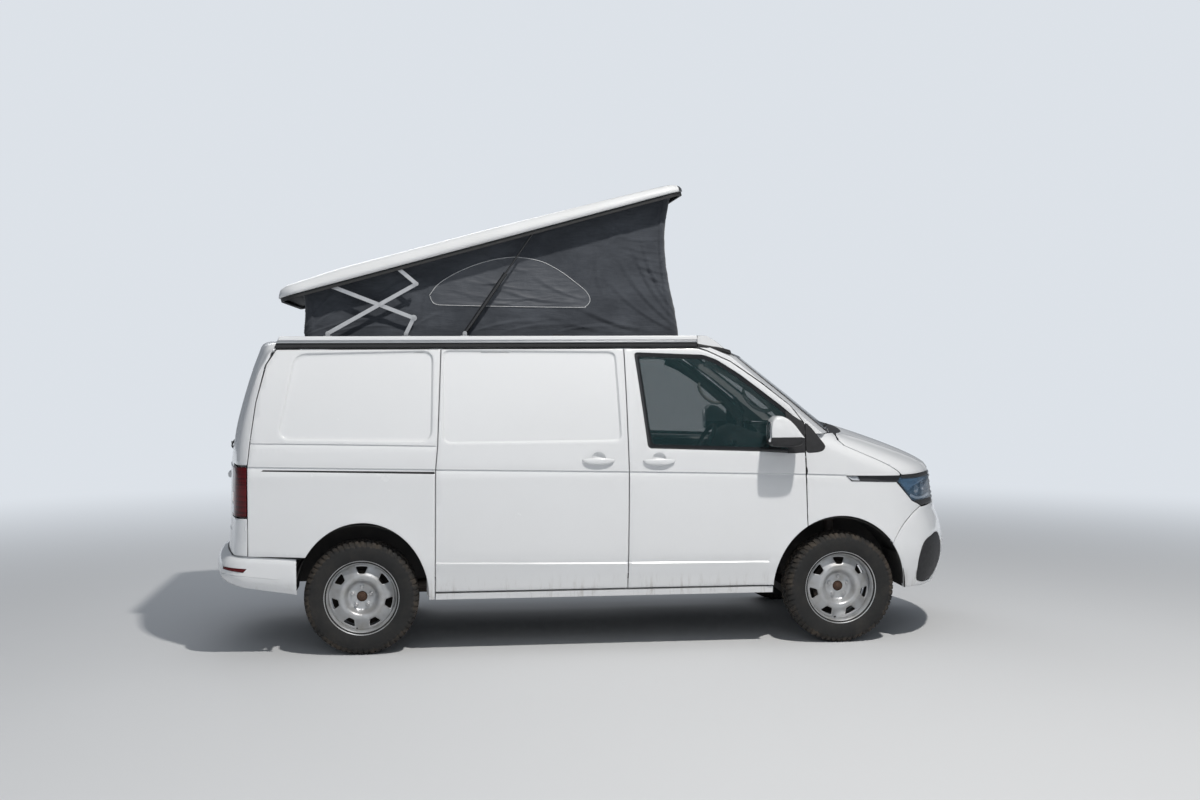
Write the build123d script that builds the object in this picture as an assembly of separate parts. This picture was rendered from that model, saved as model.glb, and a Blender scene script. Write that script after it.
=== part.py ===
"""A panel-sided camper van with its pop-top roof raised.

Frame: +X towards the nose, +Y to the van's left, +Z up, origin on the ground
under the middle of the body. Millimetres throughout.
"""
from build123d import *
import os
from math import atan2, cos, degrees, hypot, radians, sin, sqrt

# Overall sizes of the body
LENGTH = 4904.0
WIDTH = 1904.0
WHEELBASE = 3000.0
FRONT_OVERHANG = 908.0
ROOF_Z = 1925.0
SILL_Z = 330.0
GUTTER_Z = 1872.0
NOSE_X = LENGTH / 2
TAIL_X = -LENGTH / 2
SIDE_Y = WIDTH / 2
FRONT_AXLE_X = NOSE_X - FRONT_OVERHANG
REAR_AXLE_X = FRONT_AXLE_X - WHEELBASE

# Body walls and running gaps
WALL = 55.0
GAP = 8.0
SEAT_GAP = 0.3
GLASS = 6.0
FAR = 6500.0
PANEL = 25.0
DOOR_CLEAR = 6.0
RING = 40.0

# Plan curves: nose, windscreen and tail are arcs with rounded corners
NOSE_ARC_R = 1311.0
NOSE_CORNER_R = 450.0
SCREEN_ARC_R = 2000.0
TAIL_ARC_R = 3500.0
TAIL_CORNER_R = 120.0

# Side profiles as (set back from the end of the van, height)
NOSE_PROFILE = [
    (62, SILL_Z), (8, 480), (0, 590), (24, 715), (64, 830),
    (100, 1052), (182, 1131), (395, 1224), (643, 1312), (860, 1378),
]
TAIL_PROFILE = [
    (117, SILL_Z), (117, 560), (131, 800), (140, 1124), (173, 1378), (251, 1664), (346, 1922), (380, 1990),
]
BUMPER_PROFILE = [(95, 338), (42, 418), (0, 472), (5, 535), (62, 600)]
BUMPER_STEP_Z = 600.0
BUMPER_SIDE_X = -1842.0

# Windscreen and roof front on the centreline as (x, height)
SCREEN_PROFILE = [
    (1800, 1205), (1647, 1330), (1368, 1556), (1039, 1814), (880, 1880), (660, 1912), (430, ROOF_Z),
]
SCREEN_FOOT_Z = 1345.0
SCREEN_HEAD_Z = 1822.0

# Wheels
TYRE_R = 350.0
TYRE_W = 215.0
RIM_R = 216.0
RIM_FLANGE_R = 232.0
TRACK = 1628.0
WHEEL_Y = TRACK / 2
WHEEL_Z = TYRE_R
KINGPIN_INSET = 90.0
KINGPIN_Y = WHEEL_Y - KINGPIN_INSET
HUB_R = 75.0
CENTRE_BORE_R = 32.5
DISC_R = 150.0
SIDEWALL_R = 292.0
TREAD_HALF = 78.0
BARREL_R = 208.0

# Floor and posts
FLOOR_Z = 430.0
FLOOR_TOP_Z = 465.0
SIDE_FLOOR_Y = 858.0
LEG_FOOT_Z = 394.0
WELL_R = 436.0
WELL_T = 8.0
REAR_WELL_Y = 655.0
FRONT_WELL_Y = 492.0
LEG_Y = 440.0
LEG_W = 60.0
LEG_Z = (440.0, 540.0)
CROSS_MEMBERS = (-2180.0, -900.0, 0.0, 980.0)
RAIL_INNER_Y = 660.0
# Post and rail boxes of the inner ring as (x from, x to, z from, z to)
POSTS = [
    (120, 240, FLOOR_TOP_Z, 1866),
    (-1060, -960, FLOOR_TOP_Z, 1866),
    (-1980, -1890, FLOOR_TOP_Z, 1866),
    (-1980, 600, 1800, 1866),
]

WHEELS = [
    ("front_left", FRONT_AXLE_X, 1), ("front_right", FRONT_AXLE_X, -1),
    ("rear_left", REAR_AXLE_X, 1), ("rear_right", REAR_AXLE_X, -1),
]
DISH_R = 132.0
WINDOW_COUNT = 7
WINDOW_AT_R = 165.0
SPINDLE_R = 25.0
KING_R = 10.0
KNUCKLE_H = 300.0
TOW_HOLE_R = 6.5
TOW_SPACING_X = 140.0

# Wheel arch openings, ellipses as (centre x, centre z, half length, half height)
FRONT_ARCH = (1532.0, 352.0, 424.0, 456.0)
REAR_ARCH = (-1452.0, 352.0, 402.0, 460.0)

# Seams in the side view, from top to bottom, as (x, z)
REAR_SEAM = [(-1958, GUTTER_Z), (-2017, 1777), (-2076, 1550), (-2110, 1311), (-2128, 1150), (-2128, 852)]
C_SEAM = [(-964, GUTTER_Z), (-989, 1274), (-1003, 1120), (-1010, 372)]
B_SEAM = [(170, GUTTER_Z), (189, 1112), (181, 372)]
DOOR_FRONT = [(640, GUTTER_Z), (700, 1850), (845, 1783), (1034, 1650), (1215, 1507), (1297, 1400),
              (1306, 1189), (1318, 746), (1318, 372)]
HOOD_SHUT = [(1530, 1400), (1530, 1287), (1566, 1250), (1689, 1197), (1814, 1142), (1891, 1100), (1931, 1070)]
LAMP_EDGE = [(1905, 1012), (2020, 892), (2101, 852)]
BUMPER_SEAM = [(2101, 852), (1960, 760), (1870, 640)]
SILL_TOP_Z = 372.0

# Bonnet, tailgate and lamp heights
HOOD_FRONT_Z = 1052.0
BUMPER_TOP_Z = 852.0
PILLAR_FOOT_Z = 1325.0
COWL_DEPTH = 66.0
GRILLE_HALF = 560.0
TAILGATE_HALF = 760.0
TAILGATE_FOOT_Z = 612.0
LAMP_FOOT_Z = 852.0
LAMP_HEAD_Z = 1165.0

# Pressed-in fields of the side panels, and the slot of the sliding door's rail
RECESS_DEPTH = 9.0
RECESSES = [
    [(-1944, 1330), (-1846, 1836), (-1010, 1858), (-1024, 1300)],
    [(-955, 1862), (120, 1850), (148, 1296), (-955, 1290)],
]
SLIDE_SLOT = [(-2047, 1150), (-2046, 1128), (-1004, 1098), (-1004, 1120)]

# Door glass, as side view points
DOOR_GLASS = [(250, 1828), (322, 1262), (1040, 1235), (1250, 1222), (1250, 1405),
              (1150, 1492), (893, 1690), (750, 1782), (668, 1812)]
TAIL_GLASS = (620.0, 1240.0, 1760.0)

# Pop-top linkage in the side view as (x, z), roof raised
ARM_FOOT = (-1655.9, 1966.4)
LINK_FOOT = (-1178.7, 1963.1)
ARM_CROSS = (-1341.0, 2143.3)
LONG_ARM_TIP = (-1112.0, 2272.0)
SHORT_ARM_TIP = (-1130.8, 2061.6)
ARM_ROOF = (-1624.6, 2253.6)
LINK_ROOF = (-1233.0, 2374.2)
STRUT_FOOT = (-815.0, 1966.0)
STRUT_ROOF = (-372.0, 2612.0)
ROOF_TILT = 15.2

# Pop-top sizes
SHELL_LENGTH = 2606.0
SHELL_HALF = 785.0
SHELL_LIP_ABOVE_PIVOT = 11.6
SHELL_REAR_FROM_PIVOT = 333.0
SHELL_WALL = 14.0
SHELL_CORNER_R = 130.0
HATCH = (-1790.0, 545.0, 640.0)
CURB_TOP_Z = 1948.0
BAR_H = 24.0
PIN_R = 6.0
EYE_R = 13.0
EYE_WALL = 6.0
BRACKET_T = 3.0
BRACKET_LIP = 5.0
PIN_CLEAR = 0.3
DRIFT_CLEAR = 5.5
LINK_DRIFT_CLEAR = 8.5

SEAL_H = 20.0
SEAL_W = 18.0
LINER_H = 46.0
CURB_W = 118.0
# Where the folded lower link dips into the curb, along the van
LINK_POCKET = (-1210.0, -1035.0)
# Layers of the linkage across the van, each bar between two half widths
LINK_FOOT_LAYER = (695.0, 703.0)
LOWER_LINK_LAYER = (707.0, 715.0)
ROOF_ARM_LAYER = (707.0, 715.0)
SHORT_ARM_LAYER = (719.0, 727.0)
LONG_ARM_LAYER = (731.0, 739.0)
UPPER_LINK_LAYER = (743.0, 751.0)
ARM_FOOT_LAYER = (743.0, 751.0)
ROOF_LINK_LAYER = (754.0, 760.0)
STRUT_PLATE_LAYER = (746.0, 753.0)
STRUT_Y = 730.0
STRUT_TUBE = 450.0
STRUT_TUBE_R = 13.0
STRUT_ROD = 410.0
STRUT_ROD_R = 5.5
CANVAS_REAR = -1806.0
CANVAS_FRONT = 552.0
CANVAS_HALF = 680.0
CANVAS_T = 5.0

PARTS = {}
ENVELOPES = {}


def add(name, shape):
    """Keep one finished piece under its node name."""
    PARTS[name] = shape


def side_face(points):
    """A flat face in the side view, from (x, z) points; a seam's shared end counts once."""
    corners = [p for i, p in enumerate(points) if p != points[i - 1]]
    return Plane.XZ * make_face(Polyline(*corners, close=True))


def slab_y(points, y0, y1):
    """A side-view outline pushed across the van from y0 to y1."""
    return extrude(Pos(0, y0, 0) * side_face(points), amount=y1 - y0, dir=(0, 1, 0))


def box(x0, x1, y0, y1, z0, z1):
    """A block between two corners."""
    centre = ((x0 + x1) / 2, (y0 + y1) / 2, (z0 + z1) / 2)
    return Pos(*centre) * Box(abs(x1 - x0), abs(y1 - y0), abs(z1 - z0))


def rod_y(x, z, radius, y0, y1):
    """A round bar across the van."""
    return Pos(x, (y0 + y1) / 2, z) * Rot(90, 0, 0) * Cylinder(radius, abs(y1 - y0))


def rod_between(start, end, radius):
    """A round bar between two points."""
    a, b = Vector(*start), Vector(*end)
    plane = Plane(origin=a, z_dir=(b - a).normalized())
    return extrude(plane * Circle(radius), amount=(b - a).length)


def mirrored(shape):
    """The same piece on the other side of the van."""
    return mirror(shape, about=Plane.XZ)


def pair(shape):
    """Two like pieces, one on each side, that share a node."""
    return Compound(children=[*shape.solids(), *mirrored(shape).solids()])


def plan_face(tip_x, direction, arc_r, corner_r, half):
    """Plan outline with a shallow arc at one end, its corners rounded; direction is +1 at the nose."""
    corner_y = half - corner_r
    reach = sqrt((arc_r - corner_r) ** 2 - corner_y ** 2)
    centre_x = -arc_r
    tangent = (centre_x + arc_r * reach / (arc_r - corner_r), arc_r * corner_y / (arc_r - corner_r))
    corner_x = centre_x + reach
    turn = (atan2(corner_y, reach) + radians(90)) / 2
    middle = (corner_x + corner_r * cos(turn), corner_y + corner_r * sin(turn))

    def place(x, y):
        return (tip_x + direction * x, y)

    nose = ThreePointArc(place(tangent[0], -tangent[1]), place(0, 0), place(*tangent))
    left = ThreePointArc(place(*tangent), place(*middle), place(corner_x, half))
    right = ThreePointArc(place(corner_x, -half), place(middle[0], -middle[1]), place(tangent[0], -tangent[1]))
    tail = Polyline(place(corner_x, half), place(-FAR, half), place(-FAR, -half), place(corner_x, -half))
    return make_face([nose, left, tail, right])


def leaning_stack(profile, direction, arc_r, corner_r, half, inset=0.0):
    """Solid whose end follows a profile of (x, z) points, each level the same plan outline moved."""
    result = None
    shifted = inset_profile(profile, direction, inset)
    if inset > 0:
        shifted = prolonged(shifted, 3 * inset)
    for (x0, z0), (x1, z1) in zip(shifted, shifted[1:]):
        face = Pos(0, 0, z0) * plan_face(x0, direction, arc_r, corner_r, half - inset)
        piece = extrude(face, amount=hypot(x1 - x0, z1 - z0), dir=(x1 - x0, 0, z1 - z0))
        result = piece if result is None else result + piece
    return result


def inset_profile(profile, direction, inset):
    """Move a profile inwards by a wall thickness, along its own normals."""
    if not inset:
        return list(profile)
    normals = []
    for (x0, z0), (x1, z1) in zip(profile, profile[1:]):
        length = hypot(x1 - x0, z1 - z0)
        normals.append((direction * (z1 - z0) / length, -direction * (x1 - x0) / length))
    moved = []
    for i, (x, z) in enumerate(profile):
        before = normals[max(i - 1, 0)]
        after = normals[min(i, len(normals) - 1)]
        nx, nz = before[0] + after[0], before[1] + after[1]
        scale = 2 * inset / (nx * nx + nz * nz)
        moved.append((x - nx * scale, z - nz * scale))
    return moved


def prolonged(profile, reach):
    """The same profile with its two end lines carried further."""
    ends = []
    for (xa, za), (xb, zb) in ((profile[0], profile[1]), (profile[-1], profile[-2])):
        length = hypot(xb - xa, zb - za)
        ends.append((xa + (xa - xb) * reach / length, za + (za - zb) * reach / length))
    return [ends[0], *profile[1:-1], ends[1]]


def body_section(inset=0.0):
    """The van's cross-section from sill to roof, pushed along its length."""
    slant = inset * 0.7
    sill = (905 - inset, SILL_Z)
    crease = (945 - inset, 560)
    belt = (948 - inset, 1110)
    gutter = (838 - inset, GUTTER_Z - slant / 2)
    roof_edge = (740 - inset, 1908 - inset)
    edges = [
        Line((0, SILL_Z), sill),
        Line(sill, crease),
        ThreePointArc(crease, (SIDE_Y - inset, 780), belt),
        ThreePointArc(belt, (907 - inset, 1530), gutter),
        ThreePointArc(gutter, (806 - inset, 1898 - slant), roof_edge),
        ThreePointArc(roof_edge, (400, ROOF_Z - 5 - inset), (0, ROOF_Z - inset)),
    ]
    face = make_face(edges + [mirror(edge, about=Plane.YZ) for edge in edges])
    return Pos(-FAR, 0, 0) * extrude(Plane.YZ * face, amount=2 * FAR)


def envelope(inset=0.0):
    """The whole painted outside of the van, or the same moved inwards; each is built once."""
    if inset in ENVELOPES:
        return ENVELOPES[inset]
    nose = [(NOSE_X - back, z) for back, z in NOSE_PROFILE]
    tail = [(TAIL_X + back, z) for back, z in TAIL_PROFILE]
    front = leaning_stack(nose, 1, NOSE_ARC_R, NOSE_CORNER_R, SIDE_Y + 6, inset)
    screen = leaning_stack(SCREEN_PROFILE, 1, SCREEN_ARC_R, 60, SIDE_Y + 100, inset)
    rear = leaning_stack(tail, -1, TAIL_ARC_R, TAIL_CORNER_R, SIDE_Y + 2, inset)
    ENVELOPES[inset] = (front + screen) & rear & body_section(inset)
    return ENVELOPES[inset]


def shrink(points, clear):
    """Move a closed outline's straight edges inwards by a clearance."""
    corners = [p for i, p in enumerate(points) if p != points[i - 1]]
    area = sum(a[0] * b[1] - b[0] * a[1] for a, b in zip(corners, corners[1:] + corners[:1]))
    turn = 1 if area > 0 else -1
    moved = []
    for i, (x, z) in enumerate(corners):
        (xa, za), (xb, zb) = corners[i - 1], corners[(i + 1) % len(corners)]
        before = hypot(x - xa, z - za)
        after = hypot(xb - x, zb - z)
        nx = -turn * ((z - za) / before + (zb - z) / after)
        nz = turn * ((x - xa) / before + (xb - x) / after)
        scale = 2 * clear / (nx * nx + nz * nz)
        moved.append((x + nx * scale, z + nz * scale))
    return moved


def region(points, clear=GAP / 2):
    """Side-view region between seams, moved in by half a gap, through the whole van."""
    return extrude(side_face(shrink(points, clear)), amount=FAR, both=True)


def arch(shape, grow=0.0):
    """Wheel arch opening through the whole van."""
    x, z, half_x, half_z = shape
    return extrude(Plane.XZ * Pos(x, z) * Ellipse(half_x + grow, half_z + grow), amount=FAR, both=True)


RIGHT = box(-FAR, FAR, -FAR, 0, -100, 3200)
LEFT = box(-FAR, FAR, 0, FAR, -100, 3200)


def side_boxes(inner_y, z0, z1):
    """Both flanks of the van outside a half width, between two heights."""
    return box(-FAR, FAR, -FAR, -inner_y, z0, z1) + box(-FAR, FAR, inner_y, FAR, z0, z1)


def build_body():
    """Skin panels, all cut from nested copies of one outside so that they meet at even gaps."""
    outer = envelope()
    wall = outer - envelope(WALL)
    door_wall = outer - envelope(WALL - DOOR_CLEAR)
    panel = outer - envelope(PANEL)
    pane = outer - envelope(GLASS)
    arches = arch(FRONT_ARCH) + arch(REAR_ARCH)
    flanks = side_boxes(722, 0, GUTTER_Z - GAP / 2)
    tail_zone = box(-FAR, TAIL_X + 700, -FAR, FAR, 0, FAR)

    below_rear = [(-2600, 300), (-2600, LAMP_FOOT_Z), *REAR_SEAM[::-1]]
    quarter = region([*C_SEAM, (-1010, 300), *below_rear])
    long_side = region([*B_SEAM, (181, 300), *below_rear])
    tail_middle = tail_zone & box(-FAR, FAR, -TAILGATE_HALF, TAILGATE_HALF, 0, FAR)
    over_bumper = box(-FAR, BUMPER_SIDE_X + GAP, -FAR, FAR, 0, BUMPER_STEP_Z + GAP)
    pressed = (outer - envelope(RECESS_DEPTH)) & flanks
    fields = [pressed & region(outline, 0) for outline in RECESSES]
    slot = pressed & region(SLIDE_SLOT, 0) & RIGHT
    sides = (wall & flanks) - arches - over_bumper - fields
    add("side_panel_right", (sides & quarter & RIGHT) - tail_middle - slot)
    add("side_panel_left", (sides & long_side & LEFT) - tail_middle)
    add("sliding_door", (door_wall & flanks & region([*C_SEAM, *B_SEAM[::-1]]) & RIGHT) - fields)

    sill_right = box(-1006, 1104, -FAR, 0, 0, SILL_TOP_Z - GAP / 2)
    sill_left = box(185, 1104, 0, FAR, 0, SILL_TOP_Z - GAP / 2)
    sill_beam = box(-1006, 1104, 800, 846, SILL_Z + 10, FLOOR_Z)
    skirts = (wall & (sill_right + sill_left)) - box(-FAR, FAR, -700, 700, 0, FAR)
    add("sills", skirts + sill_beam + mirrored(sill_beam))

    door = (door_wall & flanks & region([*B_SEAM[::-1], *DOOR_FRONT])) - arches - region(DOOR_GLASS, 0)
    glass = pane & region(DOOR_GLASS, SEAT_GAP) & flanks
    for side, half in (("right", RIGHT), ("left", LEFT)):
        add(f"front_door_{side}", door & half)
        add(f"door_glass_{side}", glass & half)

    screen_form = leaning_stack([(x + GAP, z) for x, z in SCREEN_PROFILE], 1, SCREEN_ARC_R, 60, SIDE_Y + 100)
    cowl_form = leaning_stack([(x + COWL_DEPTH, z) for x, z in SCREEN_PROFILE], 1, SCREEN_ARC_R, 60, SIDE_Y + 100)
    frame_zone = region([*DOOR_FRONT[:6], (1301, PILLAR_FOOT_Z), (1900, PILLAR_FOOT_Z), (1900, 2000), (640, 2000)])
    opening = box(700, 1900, -704, 704, SCREEN_FOOT_Z, SCREEN_HEAD_Z)
    screen_glass = box(700, 1900, -704 + SEAT_GAP, 704 - SEAT_GAP, SCREEN_FOOT_Z + SEAT_GAP, SCREEN_HEAD_Z - SEAT_GAP)
    add("windscreen_frame", (wall & frame_zone & screen_form) - opening)
    add("windscreen", pane & screen_glass & screen_form)

    above_shut = region([*HOOD_SHUT, (1931, HOOD_FRONT_Z), (2600, HOOD_FRONT_Z), (2600, 1500), (1530, 1500)])
    add("bonnet", (panel & above_shut) - cowl_form)
    add("cowl", ((panel & cowl_form) - screen_form) & box(1400, 1900, -760, 760, 1250, PILLAR_FOOT_Z + 60))

    fender = region([(1301, PILLAR_FOOT_Z), *DOOR_FRONT[6:], (1318, 300), (1870, 300), *BUMPER_SEAM[::-1],
                     *LAMP_EDGE[::-1], (1905, HOOD_FRONT_Z), *HOOD_SHUT[:0:-1], (1530, PILLAR_FOOT_Z)])
    cowl_zone = cowl_form & box(1400, 1900, -760 - GAP, 760 + GAP, 1250, 1500)
    add("front_wings", (panel & side_boxes(640, 0, FAR) & fender) - arches - cowl_zone)

    nose_zone = box(1700, 2600, -FAR, FAR, 0, FAR)
    bumper_area = region([*BUMPER_SEAM[::-1], (2600, BUMPER_TOP_Z), (2600, 300), (1870, 300)])
    add("front_bumper", (panel & bumper_area & nose_zone) - arches)
    face_band = region([*LAMP_EDGE, (2600, BUMPER_TOP_Z), (2600, HOOD_FRONT_Z), (1905, HOOD_FRONT_Z)])
    band = panel & face_band
    add("grille", band & box(1700, 2600, -GRILLE_HALF, GRILLE_HALF, 0, FAR))
    add("headlamps", band - box(1700, 2600, -GRILLE_HALF - GAP, GRILLE_HALF + GAP, 0, FAR))

    hatch = box(HATCH[0], HATCH[1], -HATCH[2], HATCH[2], 1700, FAR)
    roof_zone = box(-1946, 640 - GAP, -FAR, FAR, GUTTER_Z + GAP / 2, FAR)
    add("roof_panel", (wall & roof_zone) - hatch)

    rear_zone = region([(-2600, 2100), (-1954, 2100), *REAR_SEAM, (-2128, 300), (-2600, 300)])
    lamp_side = side_boxes(TAILGATE_HALF - GAP, 0, LAMP_HEAD_Z + GAP / 2)
    pane_hole = box(-FAR, -1800, -TAIL_GLASS[0], TAIL_GLASS[0], TAIL_GLASS[1], TAIL_GLASS[2])
    gate = door_wall & rear_zone & box(-FAR, -1800, -FAR, FAR, TAILGATE_FOOT_Z, FAR)
    add("tailgate", gate - lamp_side - pane_hole)
    pane_box = box(-FAR, -1800, -TAIL_GLASS[0] + SEAT_GAP, TAIL_GLASS[0] - SEAT_GAP,
                   TAIL_GLASS[1] + SEAT_GAP, TAIL_GLASS[2] - SEAT_GAP)
    add("tailgate_glass", pane & pane_box)
    lamp_box = side_boxes(TAILGATE_HALF, LAMP_FOOT_Z + GAP / 2, LAMP_HEAD_Z - GAP / 2)
    add("tail_lamps", wall & rear_zone & lamp_box)

    tip = [(TAIL_X + back, z) for back, z in BUMPER_PROFILE]
    bar = leaning_stack(tip, -1, TAIL_ARC_R, 150, SIDE_Y - 8)
    hollow = leaning_stack(tip, -1, TAIL_ARC_R, 150, SIDE_Y - 8, PANEL)
    keep = box(-FAR, BUMPER_SIDE_X, -FAR, FAR, 0, BUMPER_STEP_Z)
    step = hollow & box(-FAR, -2225, -FAR, FAR, BUMPER_STEP_Z - 8, BUMPER_STEP_Z)
    add("rear_bumper", ((bar - hollow) & keep) + step)


def build_frame():
    """Inner ring of posts, rails and cross-beams that carries the skins."""
    ring = envelope(WALL + SEAT_GAP) - envelope(WALL + RING)
    zones = [side_boxes(RAIL_INNER_Y, z0, z1) & box(x0, x1, -FAR, FAR, 0, FAR) for x0, x1, z0, z1 in POSTS]
    frame = ring & (zones[0] + zones[1:])
    frame -= rod_y(REAR_AXLE_X, WHEEL_Z, WELL_R + WELL_T, -FAR, FAR)
    add("body_frame", frame)

    thin_ring = envelope(PANEL + SEAT_GAP) - envelope(PANEL + RING)
    nose_beam = thin_ring & box(2000, 2600, -620, 620, 450, 560)
    lamp_beam = thin_ring & (box(1990, 2600, -FAR, FAR, 890, 960))
    legs = box(1110, 2290, LEG_Y - LEG_W / 2, LEG_Y + LEG_W / 2, *LEG_Z)
    upright = box(2190, 2250, LEG_Y - LEG_W / 2, LEG_Y + LEG_W / 2, LEG_Z[1], 960)
    lamp_arm = box(1990, 2230, 440, 500, 890, 960)
    front = nose_beam + lamp_beam
    for piece in (legs, upright, lamp_arm):
        front = front + piece + mirrored(piece)
    tower = slab_y([(1110, 430), (1990, 430), (1990, 960), (1800, 1000), (1330, 1180), (1110, 1180)],
                   FRONT_WELL_Y - WELL_T, FRONT_WELL_Y)
    liner = rod_y(FRONT_AXLE_X, WHEEL_Z, WELL_R + WELL_T, FRONT_WELL_Y - WELL_T, 866)
    liner -= rod_y(FRONT_AXLE_X, WHEEL_Z, WELL_R, FRONT_WELL_Y - WELL_T, 866)
    liner &= box(1112, 1985, 0, FAR, 430, FAR)
    liner -= rod_between((FRONT_AXLE_X, 640, 510), (FRONT_AXLE_X, 610, 900), 30)
    house = tower + liner
    firewall = box(1102, 1110, -SIDE_FLOOR_Y + 20, SIDE_FLOOR_Y - 20, FLOOR_Z, 1180)
    add("front_structure", front + firewall + house + mirrored(house))


def build_floor():
    """Load floor with its rear wheel boxes and the chassis legs under it."""
    plate = box(-2200, 1100, -SIDE_FLOOR_Y, SIDE_FLOOR_Y, FLOOR_Z, FLOOR_TOP_Z)
    well = rod_y(REAR_AXLE_X, WHEEL_Z, WELL_R, REAR_WELL_Y, FAR)
    cover = rod_y(REAR_AXLE_X, WHEEL_Z, WELL_R + WELL_T, REAR_WELL_Y - WELL_T, 866) - well
    cover &= box(-FAR, FAR, 0, FAR, FLOOR_Z, FAR)
    floor = plate - well - mirrored(well) + cover + mirrored(cover)
    leg = box(-2200, 1100, LEG_Y - LEG_W / 2, LEG_Y + LEG_W / 2, LEG_FOOT_Z, FLOOR_Z)
    hole = Pos(-2100, LEG_Y, LEG_FOOT_Z) * Cylinder(TOW_HOLE_R, 50)
    holes = [Pos(dx, 0, 0) * hole for dx in (-TOW_SPACING_X / 2, TOW_SPACING_X / 2)]
    leg -= holes
    inner = LEG_Y - LEG_W / 2
    cross = [box(x, x + LEG_W, -inner, inner, LEG_FOOT_Z, FLOOR_Z) for x in CROSS_MEMBERS]
    add("floor_pan", floor + leg + mirrored(leg) + cross)


def wheel_place(shape, x, y, side):
    """Put a wheel piece, modelled with its outer face towards +Y, on one corner."""
    turned = shape if side > 0 else mirrored(shape)
    return Pos(x, side * y, WHEEL_Z) * turned


def turned(points):
    """Ring turned about Y from (radius, y) points."""
    return revolve(Plane.XY * make_face(Polyline(*points, close=True)), axis=Axis.Y)


def tyre_ring():
    """Road tyre without its tread blocks."""
    half = TYRE_W / 2
    outside = [(RIM_R + 1, 86), (RIM_FLANGE_R + 1, 88), (SIDEWALL_R, half), (TYRE_R, TREAD_HALF)]
    return turned(outside + [(r, -y) for r, y in outside[::-1]])


def rim_disc():
    """Steel wheel with its pressed face and window openings, hub and brake disc."""
    lip = [(RIM_R + 0.7, 88), (RIM_FLANGE_R, 90), (RIM_FLANGE_R - 6, 94), (BARREL_R, 91)]
    barrel = turned(lip + [(r, -y) for r, y in lip[::-1]])
    front = [(CENTRE_BORE_R, 20), (HUB_R, 20), (DISH_R - 22, 62), (DISH_R, 62), (BARREL_R + 1, 40)]
    back = [(BARREL_R + 1, 30), (DISH_R - 3, 52), (DISH_R - 18, 52), (HUB_R + 8, 7.7), (CENTRE_BORE_R, 7.7)]
    dish = turned(front + back)
    for i in range(WINDOW_COUNT):
        window = Pos(0, 45, WINDOW_AT_R) * Box(46, 60, 34)
        dish -= Rot(0, 360 / WINDOW_COUNT * i, 0) * window
    bore = rod_y(0, 0, SPINDLE_R + PIN_CLEAR, -100, 60)
    hub = rod_y(0, 0, 62, -62, 7.8) + rod_y(0, 0, DISC_R, -62, -42)
    return barrel + dish + (hub - bore)


def build_wheels():
    """Four wheels on their hubs."""
    tyre = tyre_ring()
    rim = rim_disc()
    for name, x, side in WHEELS:
        add(f"tyre_{name}", wheel_place(tyre, x, WHEEL_Y, side))
        add(f"wheel_{name}", wheel_place(rim, x, WHEEL_Y, side))


def build_running_gear():
    """Steering knuckles, front arms and struts, rear axle, engine, tank and exhaust."""
    x, y, z = FRONT_AXLE_X, KINGPIN_Y, WHEEL_Z
    barrel = Pos(x, y, z) * Cylinder(22, KNUCKLE_H)
    barrel -= Pos(x, y, z) * Cylinder(KING_R + PIN_CLEAR, KNUCKLE_H + 2)
    spindle = rod_y(x, z, SPINDLE_R, y + 18, WHEEL_Y - 20)
    core = Pos(x, y, z) * Cylinder(KING_R + PIN_CLEAR, KNUCKLE_H + 2)
    caliper = box(x - 175, x - 125, y - 5, y + 20, z - 45, z + 45)
    caliper += box(x - 130, x - 18, y - 12, y + 8, z - 12, z + 12)
    knuckle = (barrel + (spindle - core)) + (caliper - core)
    add("knuckle_left", knuckle)
    add("knuckle_right", mirrored(knuckle))

    half = KNUCKLE_H / 2
    top = box(x - 26, x + 26, 600, y + 24, z + half + 1, z + half + 22)
    top += Pos(x, y, z + half - 12) * Cylinder(KING_R, 30)
    strut = rod_between((x, 640, z + half + 10), (x, 610, 900), 27)
    mount = Pos(x, 608, 905) * Cylinder(70, 14) + box(x - 60, x + 60, FRONT_WELL_Y + SEAT_GAP, 608, 898, 912)
    low = box(x - 26, x + 26, LEG_Y, y + 24, z - half - 22, z - half - 1)
    low += Pos(x, y, z - half + 12) * Cylinder(KING_R, 30)
    side = top + strut + mount + low
    cradle = box(x - 160, x + 160, -LEG_Y - 40, LEG_Y + 40, z - half - 22, z - half + 30)
    posts = [box(x + dx, x + dx + 50, LEG_Y - 30, LEG_Y + 30, z - half + 30, LEG_Z[0] - SEAT_GAP) for dx in (-150, 100)]
    for post in posts:
        cradle += post + mirrored(post)
    add("front_subframe", cradle + side + mirrored(side))

    xr = REAR_AXLE_X
    beam = rod_y(xr, z, 38, -REAR_WELL_Y, REAR_WELL_Y)
    stub = rod_y(xr, z, SPINDLE_R, REAR_WELL_Y - 10, WHEEL_Y - 20)
    arm = rod_between((xr, 560, z), (xr + 560, 520, 390), 30)
    foot = box(xr + 520, xr + 620, 480, 560, 360, FLOOR_Z - SEAT_GAP)
    spring = Pos(xr, 560, (z + 30 + FLOOR_Z) / 2) * Cylinder(50, FLOOR_Z - z - 30 - SEAT_GAP)
    side = stub + arm + foot + spring
    add("rear_axle", beam + side + mirrored(side))

    add("engine_block", box(1330, 2000, -380, 380, 470, 900))
    add("fuel_tank", box(-780, -60, 70, LEG_Y - LEG_W / 2 - 8, 250, FLOOR_Z))
    pipe = rod_between((-300, -250, 300), (1100, -250, 300), 28)
    silencer = rod_between((-900, -250, 300), (-300, -250, 300), 65)
    tail = rod_between((-1180, -250, 300), (-900, -250, 300), 25)
    hangers = [box(px - 10, px + 10, -256, -244, 326, LEG_FOOT_Z) for px in (30, 1010)]
    add("exhaust", pipe + silencer + tail + hangers)


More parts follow.
